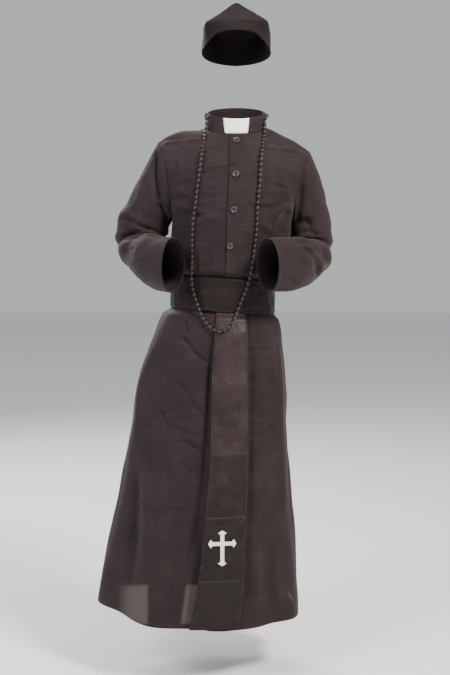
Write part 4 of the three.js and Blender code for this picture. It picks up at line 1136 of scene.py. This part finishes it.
def beam(s, half, ease):
    return tail_across(CROSS_X + s, CROSS_Z - half, ease)


cross_thread = embroidery("cross_thread")
cross_pieces = [
    cloth("cross_upright", cross_bar(-CROSS_DOWN, CROSS_UP, upright), cross_thread, thick=0.8),
    cloth("cross_beam", cross_bar(-CROSS_ACROSS, CROSS_ACROSS, beam), cross_thread, thick=0.8),
]
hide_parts("cross_applique")

# Buttons: four dark four-holed buttons of plastic with a raised rim, clouded like horn. Each is sewn
# on the overlap with two parallel lines of doubled black thread.
BUTTONS = [-41, -129, -221, -314]
HOLE_RADIUS, HOLE_OFF = 1.1, 1.75
HOLES = HOLE_OFF * np.array([(1, 1), (-1, 1), (-1, -1), (1, -1)])
HOLE_PROFILE = [(0.05, 5), (HOLE_RADIUS, 5), (HOLE_RADIUS, -2), (0.05, -2)]
STITCH = [(1, 0.2), (1.02, 1.6), (0.92, 2.35), (0.4, 2.75),
          (-0.4, 2.75), (-0.92, 2.35), (-1.02, 1.6), (-1, 0.2)]
BUTTON_PROFILE = [(0.1, 2.1), (4.9, 2.1), (5.6, 2.35), (6.4, 3.0), (7.2, 3.2), (8.2, 3.1),
                  (8.9, 2.6), (9.2, 1.8), (9.1, 0.9), (8.3, 0.35), (6.5, 0.1), (0.1, 0.05)]
HORN_DARK = (0.012, 0.0102, 0.0106, 1)
HORN_PALE = (0.048, 0.041, 0.04, 1)


def horn_finish(name):
    made = Finish(name, {"Specular IOR Level": 0.45})
    place = made.node("ShaderNodeTexCoord", {}, {}, "Object")
    swirl = made.noise(place, (1, 1, 2.2), 160.0, 4.0)
    wear_and_highlight = made.noise(place, (1, 1, 1), 900.0, 2.0)
    made.colour(made.mixed(swirl.between(0.35, 0.75), HORN_DARK, HORN_PALE))
    made.rough(0.32 + wear_and_highlight * 0.2)
    made.relief(swirl * 0.0001 + wear_and_highlight * 0.00003)
    return made


def thread_finish(name, colour):
    made = Finish(name, {"Sheen Weight": 0.3})
    place = made.node("ShaderNodeTexCoord", {}, {}, "Object")
    fuzz = made.noise(place, (1, 1, 1), 2600.0, 2.0)
    made.colour(made.mixed(fuzz, colour, [c * 2 for c in colour[:3]] + [1]))
    made.rough(0.7 + fuzz * 0.1)
    made.relief(fuzz * 0.00015)
    return made


def mesh_piece(name, points, faces, finish):
    mesh = bpy.data.meshes.new(name)
    mesh.from_pydata((np.asarray(points) / 1000).tolist(), [], faces)
    mesh.shade_smooth()
    mesh.materials.append(finish.material)
    made = bpy.data.objects.new(name, mesh)
    bpy.context.scene.collection.objects.link(made)
    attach(made, "root")
    return made


def turned(profile, sides):
    """Points and faces of a profile of radius and height, turned round the third axis."""
    angle = np.arange(sides) * 2 * math.pi / sides
    points = [(r * math.cos(a), r * math.sin(a), h) for r, h in profile for a in angle]
    faces = []
    for k in range(len(profile) - 1):
        for a in range(sides):
            b = (a + 1) % sides
            faces.append((k * sides + b, k * sides + a, (k + 1) * sides + a, (k + 1) * sides + b))
    faces.append(tuple(range(sides)))
    faces.append(tuple((len(profile) - 1) * sides + a for a in range(sides))[::-1])
    return np.array(points), faces


def tube(line, radius, sides=6, closed=False):
    """Points and faces of a thread of that radius along a line of points."""
    way = np.roll(line, -1, axis=0) - np.roll(line, 1, axis=0) if closed else np.gradient(line, axis=0)
    way /= np.linalg.norm(way, axis=1, keepdims=True)
    side = np.cross(way, [0.3, 0.9, 0.2])
    side /= np.linalg.norm(side, axis=1, keepdims=True)
    over = np.cross(way, side)
    angle = np.arange(sides)[None, :, None] * 2 * math.pi / sides
    points = line[:, None] + radius * (side[:, None] * np.cos(angle) + over[:, None] * np.sin(angle))
    index = np.arange(len(line) * sides).reshape(-1, sides)
    here, after = (index, np.roll(index, -1, axis=0)) if closed else (index[:-1], index[1:])
    faces = np.stack([here, np.roll(here, -1, 1), np.roll(after, -1, 1), after], axis=-1)
    faces = faces.reshape(-1, 4).tolist()
    if not closed:
        faces += [index[0][::-1].tolist(), index[-1].tolist()]
    return points.reshape(-1, 3), faces


def gathered(parts):
    """One set of points and faces from several."""
    points, faces, first = [], [], 0
    for more, sides in parts:
        points.append(more)
        faces += [tuple(k + first for k in face) for face in sides]
        first += len(more)
    return np.vstack(points), faces


def drilled(disc, points, faces):
    """Cuts closed shapes, given in mm, out of the disc."""
    drill = mesh_piece("drill", points, faces, horn)
    cut_out = disc.modifiers.new("holes", "BOOLEAN")
    cut_out.object = drill
    cut_out.operation = "DIFFERENCE"
    cut_out.solver = "EXACT"
    after = bpy.data.meshes.new_from_object(disc.evaluated_get(bpy.context.evaluated_depsgraph_get()))
    disc.modifiers.clear()
    disc.data = after
    bpy.data.objects.remove(drill)


def lap_point(z):
    """A point of the overlap's middle, at about that height."""
    if z <= ARMPIT:
        return robe_point(z, turn_at(z, 0.0))
    v = np.linspace(0, 1, 400)
    middle = upper_points(LEFT, 1, 0, v)
    k = np.searchsorted(middle[:, 2], z)
    return middle[min(k, 399)]


horn = horn_finish("button_horn")
black_thread = thread_finish("black_thread", (0.008, 0.0068, 0.007, 1))
for number, z in enumerate(BUTTONS, 1):
    points, faces = turned(BUTTON_PROFILE, 40)
    rising = lap_point(z + 12) - lap_point(z - 12)
    rising /= np.linalg.norm(rising)
    out = np.cross([1, 0, 0], rising)
    out /= np.linalg.norm(out)
    axes = np.stack([[1, 0, 0], rising, out])
    seat = lap_point(z) + out * (CLOTH + 2 * LAYER_GAP)
    disc = mesh_piece(f"button_{number}_horn", points @ axes + seat, faces, horn)
    holes, sewing = [], []
    for across, up in HOLES:
        hole, sides = turned(HOLE_PROFILE, 12)
        holes.append(((hole + [across, up, 0]) @ axes + seat, sides))
    for across in (-HOLE_OFF, HOLE_OFF):
        for beside in (-0.28, 0.28):
            loop = [(across + beside, up * HOLE_OFF, level) for up, level in STITCH]
            sewing.append(tube(smooth_line(loop, np.linspace(0, 1, 24)) @ axes + seat, 0.3))
    drilled(disc, *gathered(holes))
    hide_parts(f"button_{number}")
    sewn = mesh_piece(f"button_{number}_thread", *gathered(sewing), black_thread)

# Bead string: a loop of small dark plastic beads on a thread. It goes round the outside of the collar,
# hangs down the chest over the sash and comes back up the other side, lying on whatever is under it.
BEAD_PITCH, BEAD_LIFT, STRING_RADIUS = 14.2, 4.7, 0.7
FAR_IN_FRONT = -0.6
STRAND = {
    "x": [-87, -97, -105, -113, -116, -116, -106, -87, -70, -53,
          -30, -9, 9, 30, 45, 53, 55, 61, 64, 68],
    "z": [-52, -131, -196, -252, -337, -415, -456, -501, -523, -534,
          -534, -511, -467, -415, -337, -260, -208, -144, -92, -51],
}
ROUND_COLLAR = {
    "turn": [57, 61, 70, 100, 135, 180, 225, 262, 286, 293, 299],
    "off": [6, 2.4, 0.6, 0.4, 0.4, 0.4, 0.4, 0.4, 0.8, 3, 9],
    "rise": [4, 20, 33, 34, 33, 32, 33, 34, 34, 20, 4],
}
BEAD_PROFILE = [(0.8, 4.9), (2.0, 4.7), (3.1, 4.0), (3.8, 2.8), (4.1, 1.2),
                (4.1, -1.2), (3.8, -2.8), (3.1, -4.0), (2.0, -4.7), (0.8, -4.9)]
BEAD_DARK = (0.006, 0.005, 0.005, 1)
BEAD_PALE = (0.032, 0.023, 0.019, 1)

scene_now = bpy.context.evaluated_depsgraph_get()
under_beads = []
for piece in (front_left, front_right, sleeve_left, sleeve_right, collar_piece, band_piece, tail_piece):
    under_beads.append(BVHTree.FromObject(piece, scene_now))


def foremost(x, z):
    """How far forward the costume reaches at a place across and up, in mm."""
    start = Vector((x / 1000, FAR_IN_FRONT, z / 1000))
    hits = [tree.ray_cast(start, Vector((0, 1, 0)))[0] for tree in under_beads]
    return min(hit.y for hit in hits if hit is not None) * 1000


def evenly(line, count, closed=False):
    """Places along a line of points, an equal way apart."""
    line = np.vstack([line, line[:1]]) if closed else line
    far = np.concatenate([[0], np.cumsum(np.linalg.norm(np.diff(line, axis=0), axis=1))])
    stops = np.linspace(0, far[-1], count, endpoint=not closed)
    return np.stack([np.interp(stops, far, line[:, k]) for k in range(3)], axis=1), far[-1]


def rolling(values, reach, how):
    return np.array([how(values[max(0, k - reach):k + reach + 1]) for k in range(len(values))])


strand = [(x, 0, z) for x, z in zip(STRAND["x"], STRAND["z"])]
strand_line = smooth_line(strand, np.linspace(0, 1, 400))
hanging, _ = evenly(strand_line, 121)
reaches = np.array([min(foremost(x + dx, z) for dx in (-3, 0, 3)) for x, _, z in hanging])
hanging[:, 1] = rolling(rolling(reaches, 2, min), 3, np.mean) - BEAD_LIFT
turns, offs, rises = (np.array(ROUND_COLLAR[key], float) for key in ("turn", "off", "rise"))
at_collar = neck_point(turns, offs + 2.2, rises)
loop = np.vstack([hanging[3:-3:3], at_collar])
string_line = smooth_line(loop, np.linspace(0, 1, 1600, endpoint=False), True)
_, string_length = evenly(string_line, 10, True)
bead_count = round(string_length / BEAD_PITCH)
bead_places, _ = evenly(string_line, bead_count, True)
bead_points, bead_faces = turned(BEAD_PROFILE, 14)
points, faces = [], []
chance = np.random.default_rng(3)
for k, place in enumerate(bead_places):
    way = bead_places[(k + 1) % bead_count] - bead_places[k - 1]
    way /= np.linalg.norm(way)
    side = np.cross(way, chance.normal(size=3))
    side /= np.linalg.norm(side)
    axes = np.stack([side, np.cross(way, side), way]) * chance.uniform(0.94, 1.05)
    faces += [tuple(i + k * len(bead_points) for i in face) for face in bead_faces]
    points.append(bead_points @ axes + place)


def bead_finish(name):
    made = Finish(name, {"Specular IOR Level": 0.42, "Coat Weight": 0.1, "Coat Roughness": 0.35})
    place = made.node("ShaderNodeTexCoord", {}, {}, "Object")
    grain = made.noise(place, (1, 1, 1), 240.0, 4.0)
    wear_and_highlight = made.noise(place, (1, 1, 1), 60.0, 2.0)
    made.colour(made.mixed(grain.between(0.35, 0.7), BEAD_DARK, BEAD_PALE))
    made.rough(0.38 + wear_and_highlight * 0.2)
    made.relief(grain * 0.00025)
    return made


beads = mesh_piece("beads", np.vstack(points), faces, bead_finish("bead_plastic"))
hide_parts("bead_string")
thread_line, _ = evenly(string_line, 420, True)
string = mesh_piece("bead_thread", *tube(thread_line, STRING_RADIUS, 6, True), black_thread)

# Hat: a soft cap of four gores in the robe's fabric with less sheen, painted darker as painted shade.
# Each seam between them is a ridge that climbs from the wall to a peak in the middle. The lower edge is
# turned up and stitched, and lies high in front and low behind.
HAT_AT, HAT_TIP = (0, -6, 222), 6
HAT_HALF, HAT_DEPTH, HAT_PEAK = 92, 99, 107
HAT_SQUARE, HAT_BOW = 5, 2
HAT_SEAM_RISE = [36, 46, 46, 34]
HAT_GORES = {"turn": [0, 90, 180, 270], "sag": [0, 2, 5, 2], "puff": [0, 18, 3, 0]}
HAT_CUTS = [(0.16, 0.18, 0.0148), (0.165, 0.185, 0.0207), (0.16, 0.21, 0.0217), (0.165, 0.21, 0.0203)]
HAT_EDGE = {"turn": [0, 30, 50, 65, 90, 135, 180], "level": [9, 5, -10, -20, -29, -35, -38]}
HAT_RINGS = {
    "step": [0, 1, 2, 3, 4, 5, 6, 7, 8, 9, 10],
    "width": [1, 1.005, 1, 0.98, 0.925, 0.78, 0.56, 0.34, 0.2, 0.1, 0],
    "wall": [0, 0.35, 0.7, 0.92, 1, 1, 1, 1, 1, 1, 1],
    "crown": [0, 0, 0, 0, 0.055, 0.2, 0.42, 0.65, 0.81, 0.93, 1],
}


def hat_point(gore, u, step):
    """gore is the number of the panel from the front round, and u the share across it."""
    ring = follow(HAT_RINGS, "step", step)
    first, last = HAT_SEAM_RISE[gore - 1], HAT_SEAM_RISE[gore]
    from_front = HAT_GORES["turn"][gore] - 45 + 90 * u
    turn = np.radians(from_front)
    between = np.sin(np.pi * u)
    sin, cos = np.sin(turn), np.cos(turn)
    power = 2 + (HAT_SQUARE - 2) * ring["wall"]
    reach = (np.abs(sin) ** power + np.abs(cos) ** power) ** (-1 / power)
    aside = np.minimum(np.abs(from_front), 360 - np.abs(from_front))
    low = follow(HAT_EDGE, "turn", aside)["level"]
    puff, sag = HAT_GORES["puff"][gore], HAT_GORES["sag"][gore]
    loose = between * (puff * (1 - ring["crown"]) - sag) * np.sin(np.pi * ring["crown"])
    base = first + (last - first) * smooth(u) - between * HAT_BOW
    top = base + (HAT_PEAK - base) * ring["crown"]
    z = low + (top - low) * ring["wall"] + loose
    grow = ring["width"] * (1 + (reach * 0.965 - 1) * ring["wall"])
    return np.stack(np.broadcast_arrays(HAT_HALF * grow * sin, -HAT_DEPTH * grow * cos, z), axis=-1)


# Painted shade: the hat's fabric is painted about a third darker, so the crown, which leans back into
# the light, reads as dark.
hat_cloth = robe_fabric("hat_cloth", 0.65, 0.04)
tip = math.radians(HAT_TIP)
back = np.array([[1, 0, 0], [0, math.cos(tip), -math.sin(tip)], [0, math.sin(tip), math.cos(tip)]])
for gore, name in enumerate(("hat_front", "hat_left", "hat_back", "hat_right")):
    steps = np.concatenate([[0, 0.04], np.linspace(0.1, 3, 26), np.linspace(3.1, 9.97, 60)])[:, None]
    across = close_at_ends(0, 1, 44, 0.008)[None, :]
    grid = hat_point(gore, across, steps)
    out = facing_out(grid)
    inside = smooth(across / 0.12) * smooth((1 - across) / 0.12)
    ridge = 1.5 * swell((across - 0.06) / 0.035) + 1.5 * swell((0.94 - across) / 0.035)
    waves = 1.1 * ripples(grid, 62, 40) + 0.5 * ripples(grid, 27, 50)
    push = ridge * smooth((steps - 1) / 2) + waves * inside
    push = push * smooth(steps / 0.5) * smooth((9.6 - steps) / 2.5)
    grid = grid + out * push[..., None]
    grid = grid @ back + HAT_AT
    piece = cloth(name + "_cloth", grid, hat_cloth, thick=1.0, edges="s")
    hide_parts(name)
    wide, tall, area = HAT_CUTS[gore]
